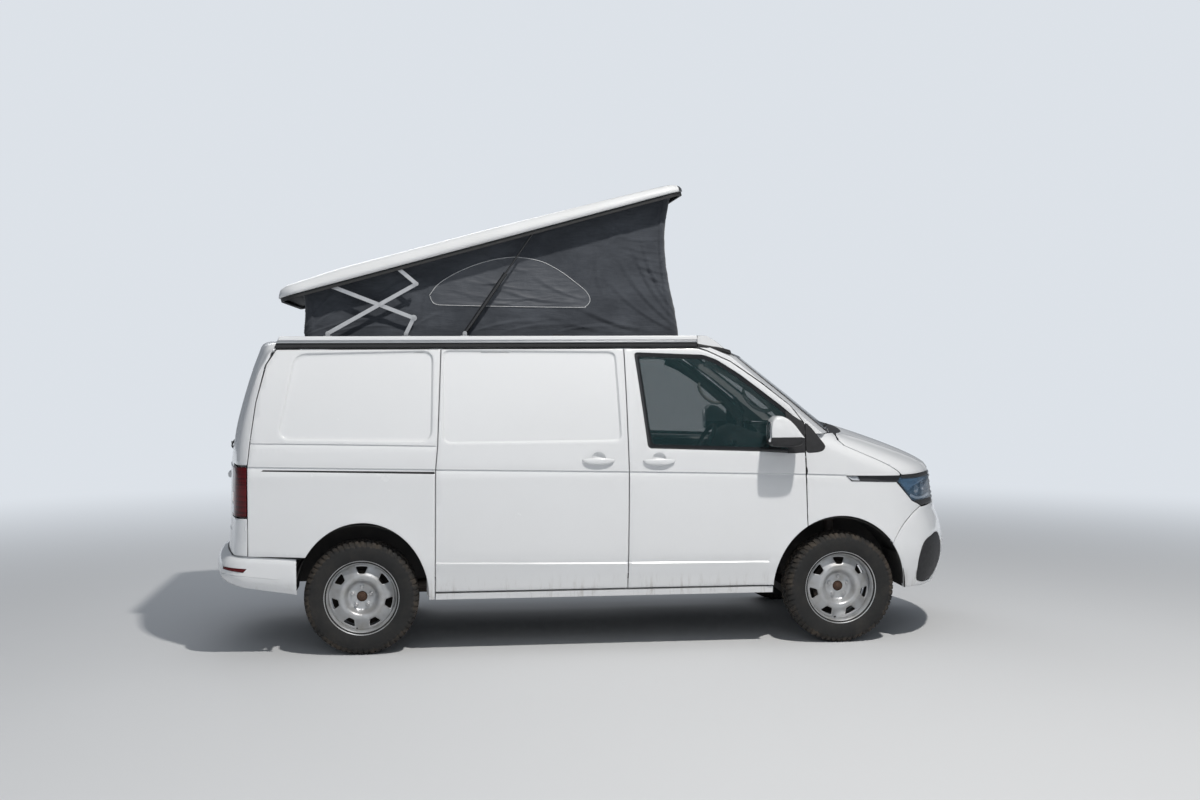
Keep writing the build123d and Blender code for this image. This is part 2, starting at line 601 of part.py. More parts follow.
def build_inside():
    """Seats, dashboard, steering wheel, rear bench and kitchen block."""
    def seat(x, y):
        base = box(x - 210, x + 190, y - 200, y + 200, FLOOR_TOP_Z, 760)
        cushion = box(x - 250, x + 250, y - 240, y + 240, 760, 880)
        back = slab_y([(x - 250, 880), (x - 120, 880), (x - 280, 1420), (x - 370, 1400)], y - 230, y + 230)
        head = slab_y([(x - 345, 1440), (x - 270, 1445), (x - 300, 1600), (x - 370, 1590)], y - 120, y + 120)
        stalks = box(x - 330, x - 300, y - 60, y + 60, 1400, 1450)
        return base + cushion + back + head + stalks

    add("front_seats", Compound(children=[*seat(640, 420).solids(), *seat(640, -420).solids()]))
    dash = slab_y([(1060, 900), (1102, 900), (1102, 1186), (1330, 1186), (1400, 1200), (1370, 1260), (1150, 1290),
                   (1020, 1240), (1000, 1120)], -SIDE_FLOOR_Y + 20, SIDE_FLOOR_Y - 20)
    section = RegularPolygon(15, 8)
    rim = revolve(Plane.XZ * Pos(185, 0, 0) * section, axis=Axis.Z)
    spokes = Box(350, 36, 14) + Box(36, 350, 14) + Box(96, 96, 30)
    at = Pos(900, 420, 1160) * Rot(0, -62, 0)
    column = Pos(0, 0, -105) * Cylinder(24, 190)
    add("dashboard", dash - at * Pos(0, 0, -105) * Cylinder(24 + SEAT_GAP, 192))
    add("steering_wheel", at * (rim + spokes + column))
    inner = REAR_WELL_Y - 2 * WELL_T
    bench = box(-1250, -700, -330, inner, FLOOR_TOP_Z, 880) + box(-1400, -1250, -330, inner, 640, 1400)
    add("rear_bench", bench)
    add("kitchen_block", box(-640, 100, 480, 868, FLOOR_TOP_Z, 1290))


def bar(p, q, y0, y1, eyes=(EYE_R, EYE_R), height=BAR_H):
    """Flat bar between two pivots in the side view, with round eyes."""
    length = hypot(q[0] - p[0], q[1] - p[1])
    turn = degrees(atan2(q[1] - p[1], q[0] - p[0]))
    web = Pos(length / 2, 0, 0) * Box(length, y1 - y0, height)
    for at, eye in ((0, eyes[0]), (length, eyes[1])):
        web += rod_y(at, 0, eye, -(y1 - y0) / 2, (y1 - y0) / 2)
    return Pos(p[0], (y0 + y1) / 2, p[1]) * Rot(0, -turn, 0) * web


def bracket(pivot, layer, lip_y):
    """Foot of a pivot that stands on the curb: a rounded plate with a lip bolted down beside it."""
    x, z = pivot
    low = CURB_TOP_Z + SEAT_GAP
    plate = box(x - EYE_R, x + EYE_R, *layer, low, z) + rod_y(x, z, EYE_R, *layer)
    return plate + box(x - 2 * EYE_R, x + 2 * EYE_R, lip_y, sum(layer) / 2, low, low + BRACKET_T)


def roof_placed(shape):
    """Put a piece of the flat roof shell at its raised place over the arms."""
    return Pos(ARM_ROOF[0], 0, ARM_ROOF[1]) * Rot(0, -ROOF_TILT, 0) * Pos(
        -SHELL_REAR_FROM_PIVOT, 0, SHELL_LIP_ABOVE_PIVOT) * shape


def shell_form(inset, low=0.0):
    """Outside of the roof shell lying flat down to a level, or the same moved inwards."""
    u1, half = SHELL_LENGTH - inset, SHELL_HALF - inset
    side = [(inset, low), (inset + 20, 66 - inset), (420, 88 - inset), (1500, 84 - inset),
            (2540 - inset, 62 - inset), (u1, 14), (u1, low)]
    body = slab_y(side, -SHELL_HALF - 5, SHELL_HALF + 5)
    shoulder, crown, side_y = 50 - inset, 90 - inset, half + 3
    section = make_face([
        Line((-side_y, low), (side_y, low)),
        Line((side_y, low), (side_y, shoulder)),
        ThreePointArc((side_y, shoulder), (half - 22, crown - 12), (half - 90, crown)),
        Line((half - 90, crown), (-half + 90, crown)),
        ThreePointArc((-half + 90, crown), (-half + 22, crown - 12), (-side_y, shoulder)),
        Line((-side_y, shoulder), (-side_y, low)),
    ])
    across = extrude(Plane.YZ * section, amount=FAR, both=True)
    plan = Pos((u1 + inset) / 2, 0, low - 1) * RectangleRounded(u1 - inset, 2 * half, SHELL_CORNER_R - inset)
    return body & across & extrude(plan, amount=200, dir=(0, 0, 1))


def build_pop_top():
    """Raised roof: shell, liner, seal, canvas, scissor arms, links and gas struts."""
    shell = shell_form(0) - shell_form(SHELL_WALL, -5)
    add("roof_shell", roof_placed(shell))
    ring = extrude(Pos(SHELL_LENGTH / 2, 0, -SEAT_GAP - SEAL_H) * RectangleRounded(SHELL_LENGTH - 4,
                   2 * SHELL_HALF - 4, 126), amount=SEAL_H)
    ring -= extrude(Pos(SHELL_LENGTH / 2, 0, -SEAT_GAP - SEAL_H - 1) * RectangleRounded(
        SHELL_LENGTH - 4 - 2 * SEAL_W, 2 * SHELL_HALF - 4 - 2 * SEAL_W, 126 - SEAL_W), amount=SEAL_H + 2)
    add("roof_seal", roof_placed(ring))

    liner = extrude(Pos(SHELL_LENGTH / 2, 0, LINER_H) * RectangleRounded(
        SHELL_LENGTH - 2 * SHELL_WALL - 2 * SEAT_GAP - 110, 2 * (SHELL_HALF - SHELL_WALL - SEAT_GAP), 60), amount=12)
    liner &= shell_form(SHELL_WALL + SEAT_GAP, -5)
    liner = roof_placed(liner)
    hang = roof_placed(box(-200, SHELL_LENGTH, -FAR, FAR, -60, LINER_H + 2))
    plates = []
    for point, layer in ((ARM_ROOF, ROOF_ARM_LAYER), (LINK_ROOF, ROOF_LINK_LAYER), (STRUT_ROOF, STRUT_PLATE_LAYER)):
        y0, y1 = layer
        plate = bar(point, (point[0] - 70 * sin(radians(ROOF_TILT)), point[1] + 70 * cos(radians(ROOF_TILT))),
                    y0, y1, (EYE_R, EYE_R)) & hang
        plates += [plate, mirrored(plate)]
    pins = [rod_y(*ARM_ROOF, PIN_R, ROOF_ARM_LAYER[0], SHORT_ARM_LAYER[1] + 2),
            rod_y(*LINK_ROOF, PIN_R, UPPER_LINK_LAYER[0] - 1, ROOF_LINK_LAYER[1]),
            rod_y(*STRUT_ROOF, PIN_R - 1, STRUT_Y - 8, STRUT_PLATE_LAYER[1])]
    carrier = liner
    for piece in plates + pins + [mirrored(pin) for pin in pins]:
        carrier = carrier + piece
    add("roof_liner", carrier)

    x0, x1, half = HATCH
    curb = box(x0 - CURB_W, x1 + CURB_W, -half - CURB_W, half + CURB_W, ROOF_Z - 60, CURB_TOP_Z)
    curb -= box(x0, x1, -half, half, 0, FAR)
    curb -= envelope(-SEAT_GAP)
    pocket = box(*LINK_POCKET, LINK_FOOT_LAYER[1] + 1, LOWER_LINK_LAYER[1] + 4, CURB_TOP_Z - 8, CURB_TOP_Z + 1)
    curb -= pocket + mirrored(pocket)
    add("pop_top_curb", curb)
    brackets = [
        bracket(ARM_FOOT, ARM_FOOT_LAYER, ARM_FOOT_LAYER[1] + BRACKET_LIP)
        + rod_y(*ARM_FOOT, PIN_R, LONG_ARM_LAYER[0] - 1, ARM_FOOT_LAYER[1]),
        bracket(LINK_FOOT, LINK_FOOT_LAYER, LINK_FOOT_LAYER[0] - BRACKET_LIP)
        + rod_y(*LINK_FOOT, PIN_R, LINK_FOOT_LAYER[0], LOWER_LINK_LAYER[1] + 1),
        bracket(STRUT_FOOT, STRUT_PLATE_LAYER, STRUT_PLATE_LAYER[1] + BRACKET_LIP)
        + rod_y(*STRUT_FOOT, PIN_R - 1, STRUT_Y - 8, STRUT_PLATE_LAYER[1]),
    ]
    solids = [solid for piece in brackets for solid in (*piece.solids(), *mirrored(piece).solids())]
    add("roof_brackets", Compound(children=solids))

    hole = PIN_R + PIN_CLEAR
    long_arm = bar(ARM_FOOT, LONG_ARM_TIP, *LONG_ARM_LAYER) - rod_y(*ARM_FOOT, hole, 700, 780)
    long_arm += rod_y(*ARM_CROSS, PIN_R, SHORT_ARM_LAYER[0] - 1, LONG_ARM_LAYER[0] + 1)
    long_arm += rod_y(*LONG_ARM_TIP, PIN_R, LONG_ARM_LAYER[1] - 1, UPPER_LINK_LAYER[1] + 1)
    short_arm = bar(ARM_ROOF, SHORT_ARM_TIP, *SHORT_ARM_LAYER)
    short_arm -= rod_y(*ARM_ROOF, hole, 690, 780)
    short_arm += rod_y(*ARM_CROSS, EYE_R, *SHORT_ARM_LAYER)
    short_arm -= rod_y(*ARM_CROSS, hole, 690, 780)
    short_arm += rod_y(*SHORT_ARM_TIP, PIN_R - 1, LOWER_LINK_LAYER[0] - 1, SHORT_ARM_LAYER[0] + 1)
    upper = bar(LONG_ARM_TIP, LINK_ROOF, *UPPER_LINK_LAYER, (EYE_R, PIN_R + DRIFT_CLEAR + EYE_WALL))
    upper -= rod_y(*LONG_ARM_TIP, hole, 700, 790)
    upper -= rod_y(*LINK_ROOF, PIN_R + DRIFT_CLEAR, 700, 790)
    lower = bar(LINK_FOOT, SHORT_ARM_TIP, *LOWER_LINK_LAYER, (EYE_R, PIN_R + LINK_DRIFT_CLEAR + EYE_WALL - 1))
    lower -= rod_y(*LINK_FOOT, hole, 680, 790)
    lower -= rod_y(*SHORT_ARM_TIP, PIN_R - 1 + LINK_DRIFT_CLEAR, 680, 790)
    for name, piece in (("long_arms", long_arm), ("short_arms", short_arm), ("upper_links", upper),
                        ("lower_links", lower)):
        add(name, pair(piece))

    dx, dz = STRUT_ROOF[0] - STRUT_FOOT[0], STRUT_ROOF[1] - STRUT_FOOT[1]
    length = hypot(dx, dz)

    def along(distance):
        return (STRUT_FOOT[0] + dx * distance / length, STRUT_Y, STRUT_FOOT[1] + dz * distance / length)

    tube = rod_between(along(10), along(STRUT_TUBE), STRUT_TUBE_R) - rod_between(
        along(14), along(STRUT_TUBE + 1), STRUT_ROD_R + 1)
    tube += rod_y(*STRUT_FOOT, EYE_R, STRUT_Y - 6, STRUT_Y + 6)
    tube -= rod_y(*STRUT_FOOT, PIN_R - 1 + PIN_CLEAR, 600, 900)
    rod = rod_between(along(length - STRUT_ROD), along(length - 8), STRUT_ROD_R)
    rod += rod_y(*STRUT_ROOF, EYE_R, STRUT_Y - 6, STRUT_Y + 6)
    rod -= rod_y(*STRUT_ROOF, PIN_R - 1 + DRIFT_CLEAR, 600, 900)
    add("strut_tubes", pair(tube))
    add("strut_rods", pair(rod))

    side = [(CANVAS_REAR, CURB_TOP_Z + SEAT_GAP), (CANVAS_FRONT, CURB_TOP_Z + SEAT_GAP),
            (CANVAS_FRONT - 95, 3000), (CANVAS_REAR - 15, 2600)]
    outer = slab_y(side, -CANVAS_HALF, CANVAS_HALF)
    inner = slab_y(shrink(side, CANVAS_T), -CANVAS_HALF + CANVAS_T, CANVAS_HALF - CANVAS_T)
    well = box(CANVAS_REAR + CANVAS_T, CANVAS_FRONT - CANVAS_T, -CANVAS_HALF + CANVAS_T, CANVAS_HALF - CANVAS_T,
               CURB_TOP_Z - 20, CURB_TOP_Z + 40)
    under = roof_placed(box(-400, SHELL_LENGTH + 400, -FAR, FAR, -2000, LINER_H - SEAT_GAP))
    add("canvas", (outer - inner - well) & under)


def build_outside_fittings():
    """Mirrors, roof rails and the fairing in front of the raised roof."""
    base = slab_y([(1150, 1250), (1245, 1240), (1245, 1330), (1190, 1330)], -968, -SIDE_Y + 18)
    arm = box(1150, 1225, -1010, -960, 1262, 1290)
    cup = slab_y([(1043, 1268), (1215, 1258), (1257, 1313), (1168, 1418), (1106, 1449), (1070, 1445), (1043, 1411)],
                 -1148, -1000)
    mirror_right = (cup + arm + base) - envelope(-SEAT_GAP)
    add("mirror_right", mirror_right)
    add("mirror_left", mirrored(mirror_right))

    rail = box(-1940, 632, -852, -800, GUTTER_Z + 8, 1946) - envelope(-SEAT_GAP)
    add("roof_rails", pair(max(rail.solids(), key=lambda s: s.volume)))
    fairing = slab_y([(668, 1880), (668, 1948), (734, 1930), (824, 1878), (881, 1850), (881, 1800)], -790, 790)
    fairing = fairing - envelope(-SEAT_GAP)
    add("roof_fairing", max(fairing.solids(), key=lambda s: s.volume))


build_body()
build_frame()
build_floor()
build_wheels()
build_running_gear()
build_inside()
build_pop_top()
build_outside_fittings()

if __name__ == "__main__":
    os.makedirs("parts", exist_ok=True)
    for name, shape in PARTS.items():
        export_step(shape, f"parts/{name}.step")
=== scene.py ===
"""Looks of a white panel camper van with its pop-top roof raised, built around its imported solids."""
import math

import bmesh
import bpy
import numpy as np
from mathutils import Matrix, Vector, noise
from mathutils.geometry import delaunay_2d_cdt


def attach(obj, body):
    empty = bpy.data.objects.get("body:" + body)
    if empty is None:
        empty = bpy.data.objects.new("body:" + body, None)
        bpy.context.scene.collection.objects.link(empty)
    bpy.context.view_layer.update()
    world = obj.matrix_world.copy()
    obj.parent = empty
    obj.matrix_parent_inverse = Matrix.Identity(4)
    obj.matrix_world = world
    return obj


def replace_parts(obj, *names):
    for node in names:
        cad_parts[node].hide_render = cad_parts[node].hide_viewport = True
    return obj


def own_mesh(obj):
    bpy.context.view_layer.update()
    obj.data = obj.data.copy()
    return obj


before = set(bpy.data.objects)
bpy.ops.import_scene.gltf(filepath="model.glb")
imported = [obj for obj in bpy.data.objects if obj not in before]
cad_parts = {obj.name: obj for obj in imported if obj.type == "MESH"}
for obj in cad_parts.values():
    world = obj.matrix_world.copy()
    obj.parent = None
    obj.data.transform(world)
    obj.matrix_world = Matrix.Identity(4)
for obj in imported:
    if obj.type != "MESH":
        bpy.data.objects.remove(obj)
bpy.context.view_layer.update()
scene = bpy.context.scene
MM = 0.001
SIDES = (("right", False), ("left", True))
HAND = {-1: "right", 1: "left"}
ACROSS, UP = Vector((0, 1, 0)), Vector((0, 0, 1))

# The photograph's viewpoint
LENS_MM = 43.499
EYE = Vector((-1.0269, -9.8172, 1.8210))
LOOK_RIGHT = Vector((0.99325, -0.11591, -0.00349))
LOOK_UP = Vector((0.00698, 0.02972, 0.99953))
LOOK_AHEAD = Vector((0.11576, 0.99281, -0.03032))

# Overall sizes of the body, millimetres
SIDE_Y = 952.0
FRONT_AXLE_X = 1544.0
REAR_AXLE_X = -1456.0
WHEEL_Y = 814.0
WHEEL_Z = 350.0
GUTTER_Z = 1872.0
ROOF_Z = 1925.0
SEAM_HALF = 2.6
DOOR_WALL = 49.0
BODY_WALL = 55.0
SKIN = 24.0


class Shade:
    """One shader socket, so that shader maths reads as plain expressions."""

    def __init__(self, tree, socket):
        self.tree, self.socket = tree, socket

    def node(self, kind, settings=None, **values):
        made = self.tree.nodes.new(kind)
        for key, value in (settings or {}).items():
            setattr(made, key, value)
        for key, value in values.items():
            name = int(key[1:]) if key[0] == "i" and key[1:].isdigit() else key.replace("_", " ")
            target = made.inputs[name]
            if isinstance(value, Shade):
                self.tree.links.new(value.socket, target)
            else:
                target.default_value = value
        return made

    def pick(self, kind, output=0, settings=None, **values):
        return Shade(self.tree, self.node(kind, settings, **values).outputs[output])

    def maths(self, operation, *others):
        values = {f"i{k}": value for k, value in enumerate((self, *others))}
        return self.pick("ShaderNodeMath", 0, {"operation": operation}, **values)

    def __add__(self, other):
        return self.maths("ADD", other)

    def __mul__(self, other):
        return self.maths("MULTIPLY", other)

    def __sub__(self, other):
        return self.maths("SUBTRACT", other)

    def __rsub__(self, other):
        return (self * -1.0) + other

    __radd__, __rmul__ = __add__, __mul__

    def clamp(self):
        return self.pick("ShaderNodeClamp", Value=self)

    def band(self, low, high):
        """0 below low, 1 above high, smooth between."""
        return self.pick("ShaderNodeMapRange", 0, {"interpolation_type": "SMOOTHSTEP"}, Value=self,
                         From_Min=low, From_Max=high)

    def noise(self, scale, detail=3.0, rough=0.5):
        """Cloudy pattern over this vector."""
        return self.pick("ShaderNodeTexNoise", Vector=self, Scale=scale, Detail=detail, Roughness=rough)

    def stretch(self, x, y, z):
        return self.pick("ShaderNodeVectorMath", 0, {"operation": "MULTIPLY"}, i0=self, i1=(x, y, z))

    def parts(self):
        split = self.node("ShaderNodeSeparateXYZ", Vector=self)
        return [Shade(self.tree, output) for output in split.outputs]

    def tint(self, low, high):
        """Mix of two colours by this factor."""
        return self.pick("ShaderNodeMix", 2, {"data_type": "RGBA"}, i0=self, i6=(*low, 1.0), i7=(*high, 1.0))


SLOT_OF = {}


def finish(name, slot, base, rough, metal=0.0, coat=0.0, bump=None, bump_mm=0.3, **plain):
    """A material and its usual slot: base and rough are values or functions of the place on the object."""
    made = bpy.data.materials.new(name)
    made.use_nodes = True
    tree = made.node_tree
    shader = tree.nodes["Principled BSDF"]
    start = Shade(tree, None)
    place = start.pick("ShaderNodeTexCoord", 3)
    rows = {"Base Color": base, "Roughness": rough, "Metallic": metal, "Coat Weight": coat}
    for key, value in (*rows.items(), *plain.items()):
        target = shader.inputs[key.replace("_", " ")]
        if callable(value):
            tree.links.new(value(place).socket, target)
        else:
            target.default_value = value
    if bump:
        height = start.pick("ShaderNodeBump", Height=bump(place), Distance=bump_mm * MM, Strength=1.0)
        tree.links.new(height.socket, shader.inputs["Normal"])
    SLOT_OF[made] = slot
    return made


def clouds(scale, detail, low, high, *edges):
    """Two colours in soft patches, with firmer edges between them if two limits are given."""
    def mix(place):
        share = place.noise(scale, detail)
        return (share.band(*edges) if edges else share).tint(low, high)

    return mix


def varied(least, scale, more, detail=3.0):
    return lambda p: least + p.noise(scale, detail) * more


def mottled(name, slot, patches, rough, grain=None, **rest):
    """A finish from noise; grain is its (scale, detail, depth in millimetres)."""
    if grain:
        rest.update(bump=lambda p: p.noise(*grain[:2]), bump_mm=grain[2])
    return finish(name, slot, clouds(*patches), varied(*rough), **rest)


def paint_colour(place):
    """White paint, greyer with road dust towards the sills, in thin upright streaks."""
    _, _, z = place.parts()
    low = 1.0 - z.band(0.36, 0.50)
    streak = place.stretch(26.0, 26.0, 1.6).noise(1.0, 5.0, 0.7).band(0.50, 0.72)
    cloud = place.noise(1.4, 4.0).band(0.35, 0.75)
    dirt = (low * streak * 0.55 + low * 0.10 + cloud * 0.035).clamp()
    return dirt.tint((0.79, 0.80, 0.81), (0.46, 0.44, 0.41))


def paint_rough(place):
    return 0.20 + place.noise(5.0, 4.0).band(0.4, 0.8) * 0.08


def cloth_bump(place):
    return place.stretch(900.0, 900.0, 900.0).noise(1.0, 2.0)


def canvas_bump(place):
    """Woven cloth with creases from folding, long along the van and short upwards."""
    weave = place.stretch(520.0, 520.0, 900.0).noise(1.0, 2.0)
    crease = place.stretch(3.2, 3.2, 15.0).noise(1.0, 3.0, 0.6) - 0.5
    cross = place.stretch(11.0, 11.0, 5.0).noise(1.0, 2.0, 0.5) - 0.5
    ridges = crease.maths("ABSOLUTE") * -3.0 + cross.maths("ABSOLUTE") * -1.6
    return weave * 0.10 + ridges


def canvas_colour(place):
    """Anthracite cloth, paler where it has rubbed on its folds."""
    rubbed = place.stretch(3.0, 3.0, 5.0).noise(1.0, 5.0, 0.6).band(0.3, 0.8)
    return rubbed.tint((0.030, 0.035, 0.044), (0.066, 0.074, 0.088))


def window_cloth_colour(place):
    return place.stretch(4.0, 4.0, 7.0).noise(1.0, 4.0).tint((0.044, 0.049, 0.060), (0.090, 0.098, 0.112))


def seat_colour(place):
    weave = place.stretch(700.0, 700.0, 700.0).noise(1.0, 2.0)
    return weave.tint((0.030, 0.031, 0.034), (0.075, 0.076, 0.080))


def cabinet_colour(place):
    return place.stretch(2.0, 2.0, 40.0).noise(1.0, 4.0).tint((0.50, 0.47, 0.42), (0.40, 0.37, 0.33))


def tyre_colour(place):
    """Black rubber with brown road dust on the shoulders and in the grooves."""
    dust = place.noise(9.0, 5.0, 0.65).band(0.35, 0.75)
    return (dust * 0.85).tint((0.014, 0.014, 0.014), (0.085, 0.066, 0.048))


def wall_colour(place):
    return place.noise(9.0, 5.0, 0.65).band(0.4, 0.9).tint((0.012, 0.012, 0.012), (0.034, 0.030, 0.026))


def ribbed_red(place):
    """Red lens with fine level ribs."""
    ribs = place.stretch(1.0, 1.0, 46.0).noise(1.0, 1.0).band(0.42, 0.6)
    return ribs.tint((0.10, 0.003, 0.005), (0.05, 0.0015, 0.003))


def glass_finish(name, slot, tint, alpha):
    return mottled(name, slot, (3.0, 3.0, tint, tuple(0.85 * t for t in tint)), (0.02, 6.0, 0.03),
                   Alpha=alpha, IOR=1.5, coat=0.3)


PAINT = finish("white_paint", "white_paint", paint_colour, paint_rough, coat=0.6,
               bump=lambda p: p.noise(260.0, 1.0), bump_mm=0.012, Coat_Roughness=0.06)
ROOF_WHITE = mottled("roof_gelcoat", "white_roof",
                     (2.2, 4.0, (0.78, 0.79, 0.80), (0.70, 0.71, 0.71), 0.3, 0.8), (0.28, 8.0, 0.08),
                     (120.0, 2.0, 0.03), coat=0.3)
BLACK_TRIM = mottled("grained_black", "black_trim", (40.0, 4.0, (0.010, 0.010, 0.011), (0.028, 0.028, 0.030)),
                     (0.48, 60.0, 0.2), (900.0, 2.0, 0.15))
GLOSS_BLACK = mottled("gloss_black", "black_trim", (9.0, 3.0, (0.008, 0.008, 0.009), (0.014, 0.014, 0.015)),
                      (0.10, 30.0, 0.10), coat=0.5)
SEAL = mottled("rubber_seal", "seal_rubber", (30.0, 3.0, (0.012, 0.012, 0.012), (0.030, 0.030, 0.031)),
               (0.55, 50.0, 0.2), (500.0, 2.0, 0.08))
CHROME = mottled("bright_metal", None, (20.0, 3.0, (0.78, 0.78, 0.79), (0.66, 0.67, 0.68)),
                 (0.08, 60.0, 0.08), metal=1.0)
ZINC = mottled("plated_steel", "arm_steel", (35.0, 4.0, (0.62, 0.62, 0.62), (0.48, 0.48, 0.49)),
               (0.30, 90.0, 0.18, 4.0), metal=0.85)
RAIL_METAL = finish("anodised_rail", "rail_aluminium",
                    clouds(12.0, 3.0, (0.50, 0.51, 0.52), (0.40, 0.41, 0.42)),
                    lambda p: 0.30 + p.stretch(3.0, 300.0, 300.0).noise(1.0, 2.0) * 0.15, metal=0.8)
WHEEL_PAINT = mottled("wheel_silver", "wheel_silver",
                      (14.0, 4.0, (0.50, 0.51, 0.52), (0.40, 0.395, 0.385), 0.35, 0.75), (0.30, 50.0, 0.12),
                      metal=0.55, coat=0.2)
IRON = mottled("dark_iron", "chassis_steel", (24.0, 4.0, (0.055, 0.050, 0.047), (0.11, 0.09, 0.075)),
               (0.62, 40.0, 0.2), (160.0, 3.0, 0.4), metal=0.3)
RUSTY = mottled("rusty_hub", "chassis_steel", (60.0, 4.0, (0.045, 0.024, 0.016), (0.13, 0.075, 0.048)),
                (0.6, 50.0, 0.2), (300.0, 3.0, 0.3), metal=0.3)
UNDERSEAL = mottled("underseal", "black_trim", (8.0, 4.0, (0.030, 0.030, 0.031), (0.060, 0.055, 0.050)),
                    (0.75, 20.0, 0.15), (240.0, 3.0, 0.6))
LINING = mottled("pale_lining", "liner_board", (6.0, 3.0, (0.42, 0.42, 0.41), (0.34, 0.34, 0.33)),
                 (0.75, 30.0, 0.1, 2.0), (600.0, 2.0, 0.12))
PALE_TRIM = mottled("pale_handle", "liner_board", (20.0, 2.0, (0.62, 0.62, 0.60), (0.54, 0.54, 0.52)),
                    (0.45, 40.0, 0.1))
DASH = mottled("dash_grain", "dash_plastic", (16.0, 3.0, (0.022, 0.023, 0.025), (0.040, 0.041, 0.044)),
               (0.55, 40.0, 0.15), (700.0, 2.0, 0.12))
SEAT_CLOTH = finish("seat_weave", "seat_cloth", seat_colour, varied(0.85, 30.0, 0.1), bump=cloth_bump,
                    bump_mm=0.3)
CABINET = finish("cabinet_front", "cabinet_wood", cabinet_colour, varied(0.45, 20.0, 0.1))
ALLOY = mottled("cast_alloy", "cast_block", (30.0, 4.0, (0.34, 0.34, 0.34), (0.22, 0.22, 0.22)),
                (0.5, 50.0, 0.15), (180.0, 3.0, 0.5), metal=0.7)
TYRE = finish("black_rubber", "tyre_rubber", wall_colour, varied(0.70, 40.0, 0.12),
              bump=lambda p: p.noise(320.0, 3.0), bump_mm=0.2)
TREAD = finish("dusty_rubber", "tyre_rubber", tyre_colour, varied(0.78, 40.0, 0.12),
               bump=lambda p: p.noise(320.0, 3.0), bump_mm=0.25)
GLASS = glass_finish("green_glass", "window_glass", (0.016, 0.044, 0.048), 0.40)
SCREEN_GLASS = glass_finish("screen_glass", "window_glass", (0.016, 0.038, 0.042), 0.38)
# Headlamp lens: the blue of its tint is a painted reflection of the sky
LENS_GLASS = glass_finish("lamp_lens", "lamp_glass", (0.10, 0.19, 0.30), 0.30)
DARK_GLASS = glass_finish("rear_glass", "window_glass", (0.008, 0.010, 0.010), 0.90)
RED_LENS = finish("red_lens", "red_lamp", ribbed_red, varied(0.18, 40.0, 0.08), coat=0.15,
                  Specular_IOR_Level=0.25)
AMBER_LENS = mottled("amber_lens", "red_lamp", (60.0, 1.0, (0.42, 0.10, 0.008), (0.30, 0.06, 0.004)),
                     (0.12, 40.0, 0.08, 2.0), coat=0.6)
# Blue sheet under each headlamp lens: a painted reflection of the sky, brighter blue in patches
PAINTED_SKY_REFLECTION = mottled("lamp_painted_reflection", "lamp_glass", (14.0, 3.0, (0.05, 0.13, 0.25), (0.16, 0.30, 0.46)),
                    (0.16, 40.0, 0.08, 2.0), metal=0.5, coat=0.5)
WHITE_LAMP = mottled("light_guide", "lamp_glass", (20.0, 2.0, (0.70, 0.74, 0.80), (0.62, 0.66, 0.72)),
                     (0.15, 40.0, 0.08, 2.0), coat=0.5)
PLATE_WHITE = mottled("plate_white", "white_paint", (14.0, 3.0, (0.74, 0.75, 0.75), (0.66, 0.67, 0.67)),
                      (0.35, 60.0, 0.1))
CANVAS = finish("anthracite_canvas", "canvas_grey", canvas_colour, varied(0.84, 20.0, 0.1), bump=canvas_bump,
                bump_mm=3.0, Sheen_Weight=0.25)
CANVAS_WINDOW = finish("window_cloth", "canvas_grey", window_cloth_colour, varied(0.55, 14.0, 0.15),
                       bump=canvas_bump, bump_mm=3.0)
PIPING = finish("pale_piping", "canvas_grey", clouds(60.0, 3.0, (0.62, 0.63, 0.64), (0.48, 0.49, 0.50)), 0.6,
                bump=cloth_bump, bump_mm=0.2)


def unit(value):
    """Value held between 0 and 1."""
    return min(max(value, 0.0), 1.0)


def turns(count):
    """Angles round a full turn."""
    return np.linspace(0, 2 * math.pi, count + 1)[:-1]


# Body surfaces, millimetres

NOSE_ARC_R, NOSE_CORNER_R, NOSE_HALF = 1311.0, 450.0, 958.0
TAIL_ARC_R, TAIL_CORNER_R, TAIL_HALF = 3500.0, 120.0, 954.0
NOSE_POINTS = [(2390, 330), (2444, 480), (2452, 590), (2428, 715), (2388, 830), (2352, 1052),
               (2270, 1131), (2057, 1224), (1809, 1312), (1592, 1378)]
TAIL_POINTS = [(-2335, 330), (-2335, 560), (-2321, 800), (-2312, 1124), (-2279, 1378), (-2201, 1664),
               (-2128, 1868), (-2116, 1896), (-2096, 1915), (-2060, 1923), (-1950, 1925)]


def curve_through(points, samples=24):
    """Dense smooth curve through a few points."""
    dense = []
    ends = [points[0]] + list(points) + [points[-1]]
    for i in range(len(points) - 1):
        p0, p1, p2, p3 = (np.array(p, float) for p in ends[i:i + 4])
        for k in range(samples):
            t = k / samples
            dense.append(0.5 * (2 * p1 + (p2 - p0) * t + (2 * p0 - 5 * p1 + 4 * p2 - p3) * t * t
                                + (3 * p1 - p0 - 3 * p2 + p3) * t ** 3))
    dense.append(np.array(points[-1], float))
    return np.array(dense)


